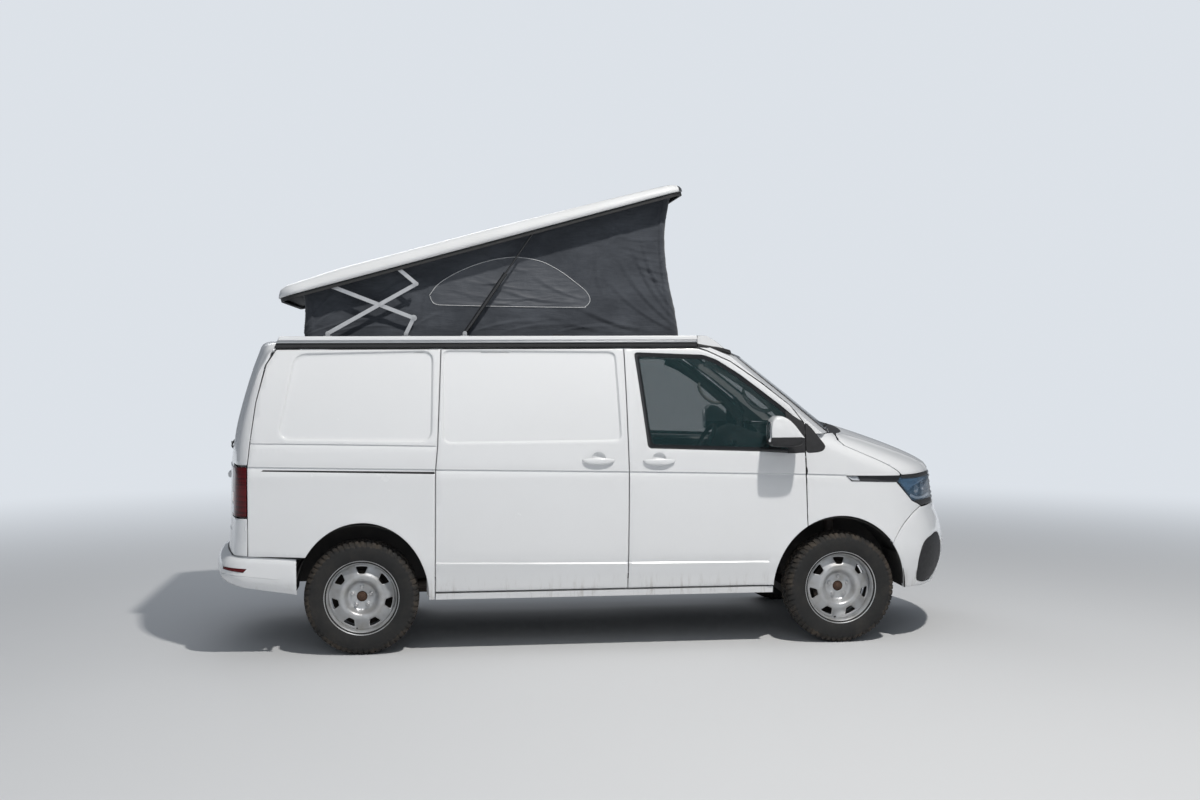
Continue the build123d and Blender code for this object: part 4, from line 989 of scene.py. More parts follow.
def build_front_bumper():
    """Painted bumper with a grained insert at each corner and a slatted intake."""
    low_v, top_v = NOSE.v_of_z(338), NOSE.v_of_z(848)
    side = nose_line(*((x - SEAM_HALF, z) for x, z in [*BUMPER_SEAM[:-2], *arch(FRONT_ARCH, 53, 92, 24)]))
    bumper = both_sides([(side[-1][0] + 4, low_v), *side[::-1], (side[0][0], top_v)], NOSE)
    rim = nose_line((2050, 430), (2062, 520), (2088, 598), (2128, 640), (2190, 660))
    rim += nose_face((-700, 668), (-640, 652), (-608, 600), (-606, 480), (-636, 400), (-700, 368))
    rim += nose_line((2190, 362), (2104, 364), (2058, 378))
    insert = [tuple(p) for p in curve_through(rim + rim[:1], 5)[:-1]]
    inserts = {"right": insert, "left": [(2 * NOSE.centre - w, v) for w, v in insert][::-1]}
    intake = rounded(nose_face((-470, 388), (-500, 520), (500, 520), (470, 388)), 50, 6)
    swage = soft_line(*nose_face(*((y, 600) for y in (-700, -350, 0, 350, 700))))
    crease = (swage, [(-70, 0.0), (-20, -4.0), (0, -6.0), (3, 0.0), (30, 0.0)])
    skin("front_bumper_skin", bumper, SKIN, "front_bumper", surface=nose_surface,
         holes=[*inserts.values(), intake], creases=[crease])
    for side, shape in inserts.items():
        drape(f"corner_grille_{side}", nose_surface, inset(shape, 1.6), BLACK_TRIM, 12,
              edge=[(0, 6.0), (6, 1.0), (16, -3.0), (60, -6.0)], step=26)
    drape("intake_back", nose_surface, inset(intake, -6), BLACK_TRIM, 6, lift=-40)
    for k in range(4):
        slat("intake_slat", k, 404 + 32 * k, np.linspace(-485, 485, 31), 16, (12, 5), BLACK_TRIM)


def slat(name, k, z, across, depth, size, material):
    """Bar across the nose at one height, behind its skin."""
    path = [nose_surface(*facing(NOSE, y, z)) - Vector((depth, 0, 0)) for y in across]
    tube(f"{name}_{k}", path, size, material)
    return path


def build_grille():
    face = both_sides(nose_face((-GRILLE_HALF, GRILLE_LOW), (-GRILLE_HALF, GRILLE_TOP)), NOSE)
    back = drape("grille_back", nose_surface, face, GLOSS_BLACK, 12, lift=-26)
    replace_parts(back, "grille")
    hole = nose_face((-GRILLE_HALF + 16, GRILLE_LOW + 22), (-GRILLE_HALF + 16, GRILLE_TOP - 14))
    drape("grille_frame", nose_surface, inset(face, SEAM_HALF), GLOSS_BLACK, 22,
          holes=[both_sides(hole, NOSE)])
    for k, z in enumerate((900, 938, 976, 1012)):
        path = slat("grille_slat", k, z, np.linspace(-540, 540, 37), 15, (11, 6), GLOSS_BLACK)
        if k in (0, 3):
            tube(f"grille_bright_{k}", [p + Vector((11, 0, 4)) for p in path], (3.5, 3), CHROME,
                 slot="rail_aluminium")


def build_headlamps():
    """Lamps with two bowls, a light guide and a painted sky reflection, and each wing's black bar and bright
    marker.
    """
    inner = -GRILLE_HALF - 8
    lamp = nose_line(*dense([(1912, 1040), (1912, 1016), (2020, 896), (2098, 856)], 40.0, closed=False))
    lamp += nose_face((inner, GRILLE_LOW), (inner, GRILLE_TOP)) + nose_line((1985, 1048), (1935, 1048))
    # Outline of the blue patch under the lens, a painted reflection of the sky
    painted_reflection = nose_line((1926, 1030), (1940, 1004), (1990, 950), (2036, 985))
    painted_reflection = rounded(dense(painted_reflection + nose_face((-700, 1012), (-690, 1034)), 30.0), 10, 3)
    bar = nose_line(*dense([(1566, 1064), (1600, 1027), (1906, 1015), (1936, 1058)], 40.0))
    brow = nose_line((1928, 1056), (1936, 1038), (1990, 1036))
    brow += nose_face((-GRILLE_HALF - 6, 1034), (-GRILLE_HALF - 6, 1058))
    foot = nose_line((2034, 894), (2060, 876), (2096, 857))
    foot += nose_face((-GRILLE_HALF - 10, 858), (-GRILLE_HALF - 10, 888))
    marker = nose_line(*dense([(1572, 1059), (1602, 1032), (1655, 1030), (1640, 1058)], 30.0))
    guide = nose_line((2022, 926), (2070, 906)) + nose_face((-740, 902), (-600, 908))
    corner = rounded([(1303.5, 1406), (1345, 1368), (1436, 1252), (1424, 1222), (1386, 1211), (1308, 1207)],
                     26, 4)
    bowl_edge = [(0, 4.0), (4, 22.0), (16, 42.0), (60, 52.0)]
    # Name, surface, outline, finish, thickness, height over the skin, section of the edge, slot
    sheets = (
        ("lamp_lens", nose_surface, inset(lamp, 1.0), LENS_GLASS, 3, 0.5, EDGE_ROUND, None),
        ("lamp_bowl", nose_surface, inset(lamp, 2.0), GLOSS_BLACK, 3, 0, bowl_edge, None),
        ("lamp_painted_reflection", nose_surface, painted_reflection, PAINTED_SKY_REFLECTION, 1, -5.0, EDGE_ROUND, None),
        ("wing_trim", nose_surface, bar, GLOSS_BLACK, 5, 3.0, [(0, 3.0), (2, 0.5), (6, 0.0)], None),
        ("lamp_brow", nose_surface, dense(brow, 50.0), BLACK_TRIM, 3, 2.0, EDGE_ROUND, None),
        ("lamp_foot", nose_surface, dense(foot, 50.0), BLACK_TRIM, 3, 1.6, EDGE_ROUND, None),
        ("wing_marker", nose_surface, rounded(marker, 8, 3), CHROME, 4, 6.0, [(0, 2.0), (2, 0.0), (6, -0.4)],
         "rail_aluminium"),
        ("pillar_corner", side_surface, corner, BLACK_TRIM, 40, 4.0, [(0, 4.0), (4, 0.6), (10, 0.0)], None))
    for side, flip in SIDES:
        for name, surface, outline, material, thick, lift, edge, slot in sheets:
            sheet = drape(f"{name}_{side}", surface, outline, material, thick, lift=lift, mirror=flip,
                          edge=edge, slot=slot)
            if name == "lamp_lens":
                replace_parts(sheet, "headlamps")
        for number, (y, z, r) in enumerate(LAMP_BOWLS):
            place = facing(NOSE, y, z)
            p = nose_surface(*place)
            ahead = square_to(nose_surface, *place)
            if ahead.x < 0:
                ahead = -ahead
            across = ahead.cross(UP).normalized()
            over = across.cross(ahead)
            rings = [[p + ahead * (d - 40) + (across * math.cos(a) + over * math.sin(a)) * r * f
                      for a in turns(32)] for d, f in BOWL_SECTION]
            lofted(f"lamp_reflector_{side}_{number}", rings, CHROME, mirror=flip, slot="lamp_glass",
                   smooth=50)
        tube(f"lamp_guide_{side}", [inward(q, 12) for q in soft_line(*guide)], (7, 9), WHITE_LAMP,
             mirror=flip)


def build_arch_aprons():
    """Dark linings that carry the wheel arches down behind the bumpers."""
    for name, shape, spans in (("front", FRONT_ARCH, ((62, 91),)),
                               ("rear", REAR_ARCH, ((-86, -60), (66, 90)))):
        for k, (start, end) in enumerate(spans):
            line = arch(shape, start, end, 16, 3.0)
            rings = [[Vector((x, -y, z)) for x, z in line] for y in np.linspace(600, 918, 5)]
            for side, flip in SIDES:
                lofted(f"arch_apron_{name}_{k}_{side}", rings, UNDERSEAL, closed=False, caps=False,
                       mirror=flip, thick=3)


def screen_surface(y, z):
    return Vector((screen_x(y, z), y, z))


def build_windscreen():
    """Black border round the windscreen, its seal and the wipers."""
    half = [(0, 1334), (400, 1336), (782, 1346), (786, 1372), (762, 1500), (738, 1640), (716, 1760),
            (700, 1822), (680, 1838), (400, 1846), (0, 1850)]
    edge = half + [(-y, z) for y, z in half[-2:0:-1]]
    hole = rounded([(-692, 1358), (692, 1358), (692, 1808), (-692, 1808)], 60, 6)
    drape("screen_border", screen_surface, edge, GLOSS_BLACK, 2, holes=[hole], lift=1.8, step=60,
          edge=[(0, 1.6), (3, 0.3), (8, 0.0)])
    foot = [(-786, 1316), (786, 1316), (786, 1345), (-786, 1345)]
    drape("screen_foot", screen_surface, dense(foot, 60.0), BLACK_TRIM, 2, lift=4.0, step=12)
    rim = [screen_surface(*p) + Vector((2, 0, 1)) for p in dense(edge, 60.0)]
    tube("screen_seal", rim, (3, 3), SEAL, closed=True, sides=6)
    out = Vector((0.62, 0, 0.78))
    for k, (start, end, pivot) in enumerate(((560, -90, 330), (-30, -640, -180))):
        blade = [screen_surface(y, 1350 + 8 * (start - y) / 600) + out * 7
                 for y in np.linspace(start, end, 25)]
        tube(f"wiper_blade_{k}", blade, (5, 7), SEAL, sides=8)
        foot = Vector((screen_x(pivot, 1306) + 34, pivot, 1300))
        arm = [foot + out * 4, foot + Vector((-26, -30, 30)) + out * 9, blade[14] + out * 6]
        tube(f"wiper_arm_{k}", [Vector(q) for q in curve_through([tuple(q) for q in arm], 6)], (7, 4),
             BLACK_TRIM)


build_wings_and_bonnet()
build_front_bumper()
build_grille()
build_headlamps()
build_windscreen()
build_arch_aprons()

# Tail: tailgate, lamps, lower corners and bumper

LAMP_LOW, LAMP_HIGH = 856.0, 1161.0
GATE_HALF = 722.0
GATE_FOOT = 628.0
PANE = rounded([(-602, 1262), (-575, 1738), (575, 1738), (602, 1262)], 60, 6)


def tail_face(points):
    return [facing(TAIL, y, z) for y, z in points]


def tail_line(half_width, z, sag=0.0, count=13):
    """Points across the tail at one height, a little higher in the middle."""
    return [facing(TAIL, y, z + sag * (1 - (y / half_width) ** 2))
            for y in np.linspace(-half_width, half_width, count)]


def off_tail(y, z, out):
    return tail_surface(*facing(TAIL, y, z)) + Vector((-out, 0, 0))


def gate_top(w, corner):
    """Top edge of the tailgate: straight across behind the roof from the seam's upper end."""
    low, high = corner[1] - 1, TAIL.length[-1] - 4
    if tail_surface(w, high).x < -1958:
        return w, high
    for _ in range(24):
        v = (low + high) / 2
        low, high = (v, high) if tail_surface(w, v).x < -1958 else (low, v)
    return w, low


def build_tailgate():
    seam = [on_tail(p) for p in dense(REAR_SEAM[:5], 50.0, closed=False)]
    top = [gate_top(w, seam[0]) for w in np.linspace(seam[0][0], TAIL.centre, 20)]
    foot_v, corner_w = facing(TAIL, -300, GATE_FOOT)[1], facing(TAIL, -GATE_HALF, GATE_FOOT)[0]
    half = [(w, foot_v) for w in np.linspace(TAIL.centre, corner_w, 12)]
    half += tail_face([(-GATE_HALF, z) for z in (760, 900, 1040, LAMP_HIGH + 8)])
    half += [on_tail((-2128, LAMP_HIGH + 8)), *seam[::-1][1:], *top[1:]]
    pane = tail_face(dense(PANE, 60.0))
    plate_field = rounded(tail_face([(-270, 905), (-270, 1035), (270, 1035), (270, 905)]), 14, 3)
    swage = (tail_line(740, 1150, 6), [(-60, 0.0), (-24, -2.0), (-3, -4.0), (2, 2.0), (30, 0.0)])
    low_swage = (tail_line(740, 760, -6), [(-30, 0.0), (-3, 0.0), (2, 4.0), (10, 3.0), (60, 0.0)])
    skin("tailgate_skin", both_sides(half[1:-1], TAIL), 14, "tailgate", "tailgate", tail_surface,
         holes=[pane], presses=[(plate_field, [(-5, 0), (0, 1), (4, 14), (12, 16)])],
         creases=[swage, low_swage], step=24)
    glass = drape("tailgate_pane", tail_surface, inset(pane, 1.0), DARK_GLASS, 6, "tailgate", lift=-1.5,
                  edge=[(0, 1.5), (2, 0.3), (6, 0.0)])
    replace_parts(glass, "tailgate_glass")
    blank = rounded(tail_face([(-258, 914), (-258, 1024), (258, 1024), (258, 914)]), 8, 3)
    drape("rear_plate_blank", tail_surface, blank, PLATE_WHITE, 2, "tailgate", lift=-9, step=50)
    rings = [[off_tail(0, 1222, 14 - d) + Vector((0, r * math.cos(a), r * math.sin(a))) for a in turns(24)]
             for d, r in ((22, 26), (0, 26), (-10, 23), (-14, 12), (-15, 3))]
    lofted("rear_wiper_boss", rings, BLACK_TRIM, "tailgate", smooth=40)
    grip = [off_tail(y, 1066, 10 + 8 * (1 - (y / 300) ** 4)) for y in np.linspace(-300, 300, 25)]
    blade = [off_tail(y, 1262 + 0.055 * (y + 430), 10) for y in np.linspace(-430, -20, 17)]
    arm = [off_tail(0, 1222, 24), off_tail(-60, 1234, 28), blade[8] + Vector((-9, 0, 0))]
    brake = [off_tail(y, 1796, 2) for y in np.linspace(-160, 160, 13)]
    for name, path, size, material, sides in (("tailgate_grip", grip, (13, 17), PAINT, 14),
                                              ("rear_wiper_blade", blade, (4, 9), SEAL, 10),
                                              ("rear_wiper_arm", arm, (4, 8), BLACK_TRIM, 10),
                                              ("high_brake_lamp", brake, (3, 9), RED_LENS, 10)):
        tube(name, path, size, material, "tailgate", sides=sides)


def build_tail_corners():
    """Upright lamps and the painted corner under each."""
    edge_line = [(-2131, LAMP_LOW), (-2131, 960), (-2131, 1060), (-2130, LAMP_HIGH)]
    outside = [on_tail(p) for p in dense(edge_line, 60.0, closed=False)]
    inside = tail_face([(-(GATE_HALF + 8), z) for z in np.linspace(LAMP_HIGH, LAMP_LOW, 6)])
    lamp = rounded(outside + inside, 12, 3)
    corner = [on_tail((-2128, CORNER_FOOT)), on_tail((-2128, LAMP_LOW - 4))]
    corner += tail_face([(-(GATE_HALF + 5), LAMP_LOW - 4), (-(GATE_HALF + 5), CORNER_FOOT + 3)])
    inner = -(GATE_HALF + 26)
    for side, flip in SIDES:
        lens = drape(f"tail_lens_{side}", tail_surface, inset(lamp, 1.0), RED_LENS, 14, mirror=flip, lift=3.0,
                     edge=[(0, 5.0), (3, 1.5), (9, 0.0)])
        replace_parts(lens, "tail_lamps")
        skin(f"rear_corner_{side}", dense(corner, 40.0), 12, f"side_panel_{side}", mirror=flip,
             surface=tail_surface, step=22)
        for k, (z0, z1, material) in enumerate(((872, 930, WHITE_LAMP), (944, 1004, AMBER_LENS))):
            field = rounded(tail_face([(inner, z0), (inner, z1), (-832, z1), (-832, z0)]), 14, 4)
            drape(f"tail_lens_field_{side}_{k}", tail_surface, field, material, 2, mirror=flip,
                  slot="red_lamp", lift=4.4, edge=[(0, 2.0), (2, 0.3), (6, 0.0)], step=24)


BUMPER_POINTS = [(-2352, 338), (-2378, 352), (-2394, 376), (-2402, 420), (-2401, 480), (-2392, 535),
                 (-2368, 578), (-2336, 598)]
BUMPER_FRONT_X = -1842.0
BUMPER = Profile(BUMPER_POINTS, -1, TAIL_ARC_R, 150.0, SIDE_Y - 6)


def bumper_surface(w, v):
    """Rear bumper's skin, tucked in along its foot and its top."""
    if w > BUMPER.centre:
        p = bumper_surface(2 * BUMPER.centre - w, v)
        return Vector((p.x, -p.y, p.z))
    tip, z = BUMPER.at(v)
    step, y = BUMPER.plan(w)
    tuck = 26 * max(0.0, (430 - z) / 90) ** 1.3 + 14 * max(0.0, (z - 540) / 60) ** 2
    x = tip + BUMPER.arc_r - BUMPER.reach - step
    behind = max(0.0, BUMPER_FRONT_X - x)
    low, high = min(380 + 0.156 * behind, 446.0), min(600 + 0.075 * behind, CORNER_FOOT)
    return Vector((x, -(y - tuck), low + (z - 338) / 260 * (high - low)))


def build_rear_bumper():
    high = BUMPER.length[-1]
    front = [(BUMPER.w_of_step(BUMPER.corner_x(v) - BUMPER_FRONT_X), v) for v in np.linspace(2, high - 2, 9)]
    line = [(w, BUMPER.v_of_z(438)) for w in np.linspace(-200, 2 * BUMPER.centre + 200, 30)]
    piece = drape("rear_bumper_skin", bumper_surface, both_sides(front, BUMPER), PAINT, 22,
                  step=36, creases=[(line, [(-40, 0.0), (-6, 1.5), (-1, 3.5), (2, 0.0), (20, 0.0)])])
    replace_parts(piece, "rear_bumper")
    ends = front[0][0], 2 * BUMPER.centre - front[0][0]
    shelf = [bumper_surface(w, high - 2) for w in np.linspace(*ends, 60)]
    rings = [shelf, [p + Vector((6, 0, 4)) for p in shelf],
             [Vector((min(p.x + 150, -1900), p.y * 0.93, p.z + 3)) for p in shelf]]
    lofted("rear_bumper_step", rings, BLACK_TRIM, closed=False, caps=False, thick=6)
    for side, flip in SIDES:
        shape = []
        for x, z in ((-2284, 558), (-2134, 548), (-2156, 525), (-2285, 541)):
            v = BUMPER.v_of_z(z)
            shape.append(locate(bumper_surface, (x, z), (BUMPER.w_of_step(BUMPER.corner_x(v) - x), v)))
        drape(f"rear_reflector_{side}", bumper_surface, rounded(shape, 5, 3), RED_LENS, 4, mirror=flip,
              lift=3.0, edge=[(0, 3.0), (2, 0.6), (5, 0.0)], step=20)


build_tailgate()
build_tail_corners()
build_rear_bumper()

# Wheels

WHEELS = (("front_left", FRONT_AXLE_X, 1), ("front_right", FRONT_AXLE_X, -1),
          ("rear_left", REAR_AXLE_X, 1), ("rear_right", REAR_AXLE_X, -1))
LUGS = 60
# One lug's pitch, as (share of the pitch, share of the cut's depth)
LUG_STEPS = ((0.03, 0), (0.33, 0), (0.63, 0), (0.70, 1), (0.84, 1), (0.96, 1))
# Half of the tyre's section, as (distance from its middle, radius, depth of a cross cut, lean of the cut)
TYRE_SECTION = ((84, 214, 0, 0), (89, 221, 0, 0), (94, 229, 0, 0), (99, 240, 0, 0), (104, 258, 0, 0),
                (106.8, 276, 0, 0), (107.3, 292, 0, 0), (106, 303, 0, 0), (105.4, 306, 0.4, 0),
                (105.8, 309, 2.5, 0), (103, 318, 4.5, 0), (99, 327, 6.5, 0.03), (92, 336, 8, 0.06),
                (84, 343, 8, 0.1), (76, 346.8, 8, 0.14), (62, 348.8, 8, 0.2), (59.5, 341, 0, 0.3),
                (53.5, 341, 0, 0.5), (51, 349.3, 7, 0.55), (38, 349.8, 7, 0.68), (25, 350, 7, 0.8),
                (22.5, 342, 0, 0.9), (16.5, 342, 0, 1.1), (14, 350, 4, 1.2), (0, 350, 4, 1.3))
SIDE_WALL_ROWS = 9
WINDOWS, WINDOW_R = 7, 165
BOLTS, BOLT_R = 5, 60
# Sections of the wheel's parts, as (radius, distance out)
DISC_SECTION = soft_line((32.5, 20), (44, 20), (62, 20), (76, 21), (85, 27), (97, 46), (107, 59), (118, 64),
                         (131, 64), (143, 58), (165, 47), (186, 38), (203, 33))
RIM_SECTION = ((203, 33), (204.5, 60), (206, 72), (212, 80), (217, 85), (222, 89), (227, 93.5), (230.5, 94),
               (232, 91), (230, 87.5), (224, 86.5), (219, 84), (215, 78), (211, 40), (206, -20), (206, -70),
               (216, -84), (232, -88), (230, -92), (214, -90), (202, -74), (200, -20), (203, 33))
HUB_SECTION = ((61, 8), (61, -60), (118, -60), (118, -44), (150, -44), (150, -72), (0.5, -72))
NOSE_SECTION = ((33, 8), (33, 15), (27, 16), (26, 22), (23, 25), (17, 25), (16, 30), (13, 32), (0.5, 32))
SHIELD_SECTION = ((66, -79), (184, -79), (192, -74), (192, -76), (184, -81), (66, -81))
BOLT_SECTION = ((12, 22), (10.5, 33), (9.5, 37), (7.5, 38.5), (6.0, 36.0))


def round_axle(x, side, a, r, out):
    """Point at an angle and a radius round a wheel's axle, and at a distance out from the wheel's middle."""
    return x + r * math.sin(a), side * (WHEEL_Y + out), WHEEL_Z + r * math.cos(a)


def spun(name, section, x, side, material, body, count, **rest):
    """Solid turned about a wheel's axle."""
    rings = [[round_axle(x, side, a, r, out) for r, out in section]
             for a in np.linspace(0, 2 * math.pi, count + 1)]
    return lofted(name, rings[::side], material, body, closed=False, caps=False, **rest)


def welded(piece, distance=0.05):
    cage = bmesh.new()
    cage.from_mesh(piece.data)
    bmesh.ops.remove_doubles(cage, verts=cage.verts, dist=distance * MM)
    bmesh.ops.recalc_face_normals(cage, faces=cage.faces)
    cage.to_mesh(piece.data)
    cage.free()
    return piece


def build_tyre(name, x, side, body):
    """Road tyre with slanted tread blocks and stepped shoulders."""
    whole = [*TYRE_SECTION, *((-y, r, cut, 2.6 - lean) for y, r, cut, lean in TYRE_SECTION[-2::-1])]
    rings = []
    for lug in range(LUGS):
        for part, deep in LUG_STEPS:
            ring = []
            for y, r, cut, lean in whole:
                turn = 2 * math.pi / LUGS * (lug + part + lean * side)
                wave = 1 + 0.35 * math.sin(2.4 * lug + (0 if y > 0 else 2)) if r < 330 else 1
                ring.append(round_axle(x, side, turn, r - cut * deep * wave, y))
            rings.append(ring)
    rings.append(rings[0])
    tyre = lofted(f"road_tyre_{name}", rings[::side], TYRE, body, closed=False, caps=False, smooth=38)
    tyre.data.materials.append(TREAD)
    strips = len(whole) - 1
    for k, face in enumerate(tyre.data.polygons):
        face.material_index = 1 if SIDE_WALL_ROWS < k % strips < strips - 1 - SIDE_WALL_ROWS else 0
    return welded(tyre)


def disc_mesh():
    """Flat net of one seventh of the wheel's face with its window, and the lengths along its section."""
    line = np.array(DISC_SECTION)
    length = np.concatenate(([0], np.cumsum(np.hypot(*np.diff(line, axis=0).T))))
    at_r = float(np.interp(WINDOW_R + 1, line[:, 0], length))
    half = math.pi * WINDOW_R / WINDOWS
    outline = [(-half, 0), (half, 0), (half, length[-1]), (-half, length[-1])]
    window = rounded([(-20, at_r - 23), (20, at_r - 23), (33, at_r + 23), (-33, at_r + 23)], 9, 5)
    flat, faces, depth = net(outline, holes=[window], step=7.0, edge=[(0.0, 0.0)],
                             presses=[(window, [(-7, 0.0), (-3, 0.5), (-1, 1.8), (0, 4.0)])])
    return flat, *compact(faces), depth, line, length


DISC_NET = disc_mesh()


def build_disc(name, x, side, body):
    flat, used, faces, depth, line, length = DISC_NET
    points, triangles = [], []
    for sector in range(WINDOWS):
        base = len(points)
        for k in used:
            u, v = flat[k]
            r = float(np.interp(v, length, line[:, 0]))
            y = float(np.interp(v, length, line[:, 1])) - depth[k]
            a = u / WINDOW_R + 2 * math.pi / WINDOWS * sector
            for bolt in range(BOLTS):
                b = 2 * math.pi / BOLTS * bolt
                gap = math.hypot(r * math.sin(a) - BOLT_R * math.sin(b),
                                 r * math.cos(a) - BOLT_R * math.cos(b))
                y += 3.5 * unit((19 - gap) / 6)
            points.append(round_axle(x, side, a, r, y))
        triangles += [tuple(base + i for i in f) for f in faces]
    disc = make(f"wheel_face_{name}", points, triangles, WHEEL_PAINT, body, smooth=50)
    welded(disc, 0.2)
    wall = disc.modifiers.new("wall", "SOLIDIFY")
    wall.thickness = 4 * MM
    wall.offset = 1 if disc.data.polygons[0].normal.y * side < 0 else -1
    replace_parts(disc, f"wheel_{name}")


def build_wheel(name, x, side):
    body = f"wheel_{name}"
    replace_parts(build_tyre(name, x, side, body), f"tyre_{name}")
    build_disc(name, x, side, body)
    carrier = f"knuckle_{HAND[side]}" if "front" in name else "body"
    spun(f"wheel_rim_{name}", RIM_SECTION, x, side, WHEEL_PAINT, body, 96, smooth=40)
    spun(f"wheel_hub_{name}", HUB_SECTION, x, side, IRON, body, 48, smooth=40)
    spun(f"hub_nose_{name}", NOSE_SECTION, x, side, RUSTY, body, 32, smooth=35)
    spun(f"dust_shield_{name}", SHIELD_SECTION, x, side, IRON, carrier, 48, smooth=40)
    for bolt in range(BOLTS):
        bx, _, bz = round_axle(x, side, 2 * math.pi / BOLTS * bolt, BOLT_R, 0)
        rings = [[(bx + r * math.sin(a), side * (WHEEL_Y + y), bz + r * math.cos(a)) for a in turns(6)]
                 for r, y in BOLT_SECTION]
        lofted(f"wheel_bolt_{name}_{bolt}", rings[::-side], ZINC, body, smooth=25)
    stem = Vector((x + 30 * side, side * (WHEEL_Y + 50), WHEEL_Z - 193))
    tube(f"valve_{name}", [stem, stem + Vector((0, 8 * side, 1)), stem + Vector((0, 24 * side, 6))], 4.2,
         SEAL, body)


for name, x, side in WHEELS:
    build_wheel(name, x, side)

# Raised roof: canvas, shell, fairing, rails and struts

TILT = math.radians(15.2)
SHELL_ORIGIN = Vector((-1624.6, 0, 2253.6))
SHELL_LENGTH, SHELL_HALF, SHELL_CORNER = 2606.0, 785.0, 130.0
SHELL_STATIONS = (0, 3, 10, 24, 45, 75, 110, 160, 240, 420, 700, 1000, 1300, 1600, 1900, 2200, 2380, 2460,
                  2500, 2530, 2555, 2575, 2590, 2600, 2606)
SHELL_PIVOT, LIP_HEIGHT = 333.0, 11.6
BLACK_TIP = 2572
# The shell's section: its shoulder's curve, its crown's fall, and the share of its points on the crown
SHOULDER, SHOULDER_LENGTH, CAMBER, CROWN_SHARE = 78, 60.0, 7, 0.72
CURB_TOP = 1948.0


def on_shell(u, y, h):
    """Point of the tilted roof from its length from the rear, side place and height over its lip."""
    a, b = u - SHELL_PIVOT, h + LIP_HEIGHT
    return Vector((SHELL_ORIGIN.x + a * math.cos(TILT) - b * math.sin(TILT), y,
                   SHELL_ORIGIN.z + a * math.sin(TILT) + b * math.cos(TILT)))


def shell_height(u):
    """Height of the shell's crown over its lip along its length."""
    return float(np.interp(u, [0, 6, 24, 60, 420, 1500, 2300, 2540, 2585, 2606],
                           [9, 22, 50, 68, 86, 83, 68, 60, 44, 22]))


def build_shell():
    """Smooth roof moulding with a black front tip and a dark lip under it."""
    rings = []
    for u in SHELL_STATIONS:
        d = min(u, SHELL_LENGTH - u)
        half, top, curve = SHELL_HALF, shell_height(u), SHOULDER * min(1.0, d / SHOULDER_LENGTH)
        if d < SHELL_CORNER:
            half -= SHELL_CORNER - math.sqrt(max(SHELL_CORNER ** 2 - (SHELL_CORNER - d) ** 2, 0))
        ring = []
        for k in range(-24, 25):
            s = abs(k) / 24
            if s <= CROWN_SHARE:
                y = (half - curve) * s / CROWN_SHARE
                h = top - CAMBER * (y / SHELL_HALF) ** 2
            else:
                a = (s - CROWN_SHARE) / (1 - CROWN_SHARE) * math.pi / 2
                y = half - curve + curve * math.sin(a)
                shoulder = top - CAMBER * ((half - curve) / SHELL_HALF) ** 2
                h = 4 + (shoulder - 4) * math.cos(a) ** 0.62 if k not in (-24, 24) else 4
            ring.append(on_shell(u, y if k > 0 else -y, h))
        rings.append(ring)
    shell = lofted("roof_shell_skin", rings, ROOF_WHITE, "roof", closed=False, caps=False, smooth=40, thick=8)
    shell.data.materials.append(GLOSS_BLACK)
    forwards = Vector((math.cos(TILT), 0, math.sin(TILT)))
    for face in shell.data.polygons:
        middle = sum((shell.data.vertices[i].co for i in face.vertices), Vector()) / len(face.vertices)
        if (middle / MM - SHELL_ORIGIN).dot(forwards) + SHELL_PIVOT > BLACK_TIP:
            face.material_index = 1
    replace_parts(shell, "roof_shell")
    edge = SHELL_HALF - 7
    lip = [on_shell(*p, 0) for p in rounded([(7, -edge), (2599, -edge), (2599, edge), (7, edge)], 123, 12)]
    tube("roof_lip", lip, (5, 5), SEAL, "roof", closed=True, sides=8)
    outside = rounded([(9, -776), (2597, -776), (2597, 776), (9, 776)], 118, 8)
    inside = rounded([(150, -769), (2430, -769), (2430, 769), (150, 769)], 20, 4)
    drape("roof_underside", lambda u, y: on_shell(u, y, 4), outside, BLACK_TRIM, 3, "roof", holes=[inside],
          step=90)


CANVAS_HALF = 676.0
CANVAS_REAR, CANVAS_FRONT, CANVAS_CORNER = -1806.0, 552.0, 60.0
CANVAS_COLUMNS, CANVAS_ROWS = 700, 112
# Lengths of the canvas's foot: one side, one corner, one end, one corner
CANVAS_RUNS = (CANVAS_FRONT - CANVAS_REAR - 2 * CANVAS_CORNER, math.pi * CANVAS_CORNER / 2,
               2 * CANVAS_HALF - 2 * CANVAS_CORNER, math.pi * CANVAS_CORNER / 2)
CANVAS_LAP = 2 * sum(CANVAS_RUNS)
# How far each end of the cloth is drawn in at its waist, and over what length
FRONT_DRAW, REAR_DRAW = (64, 380), (14, 260)
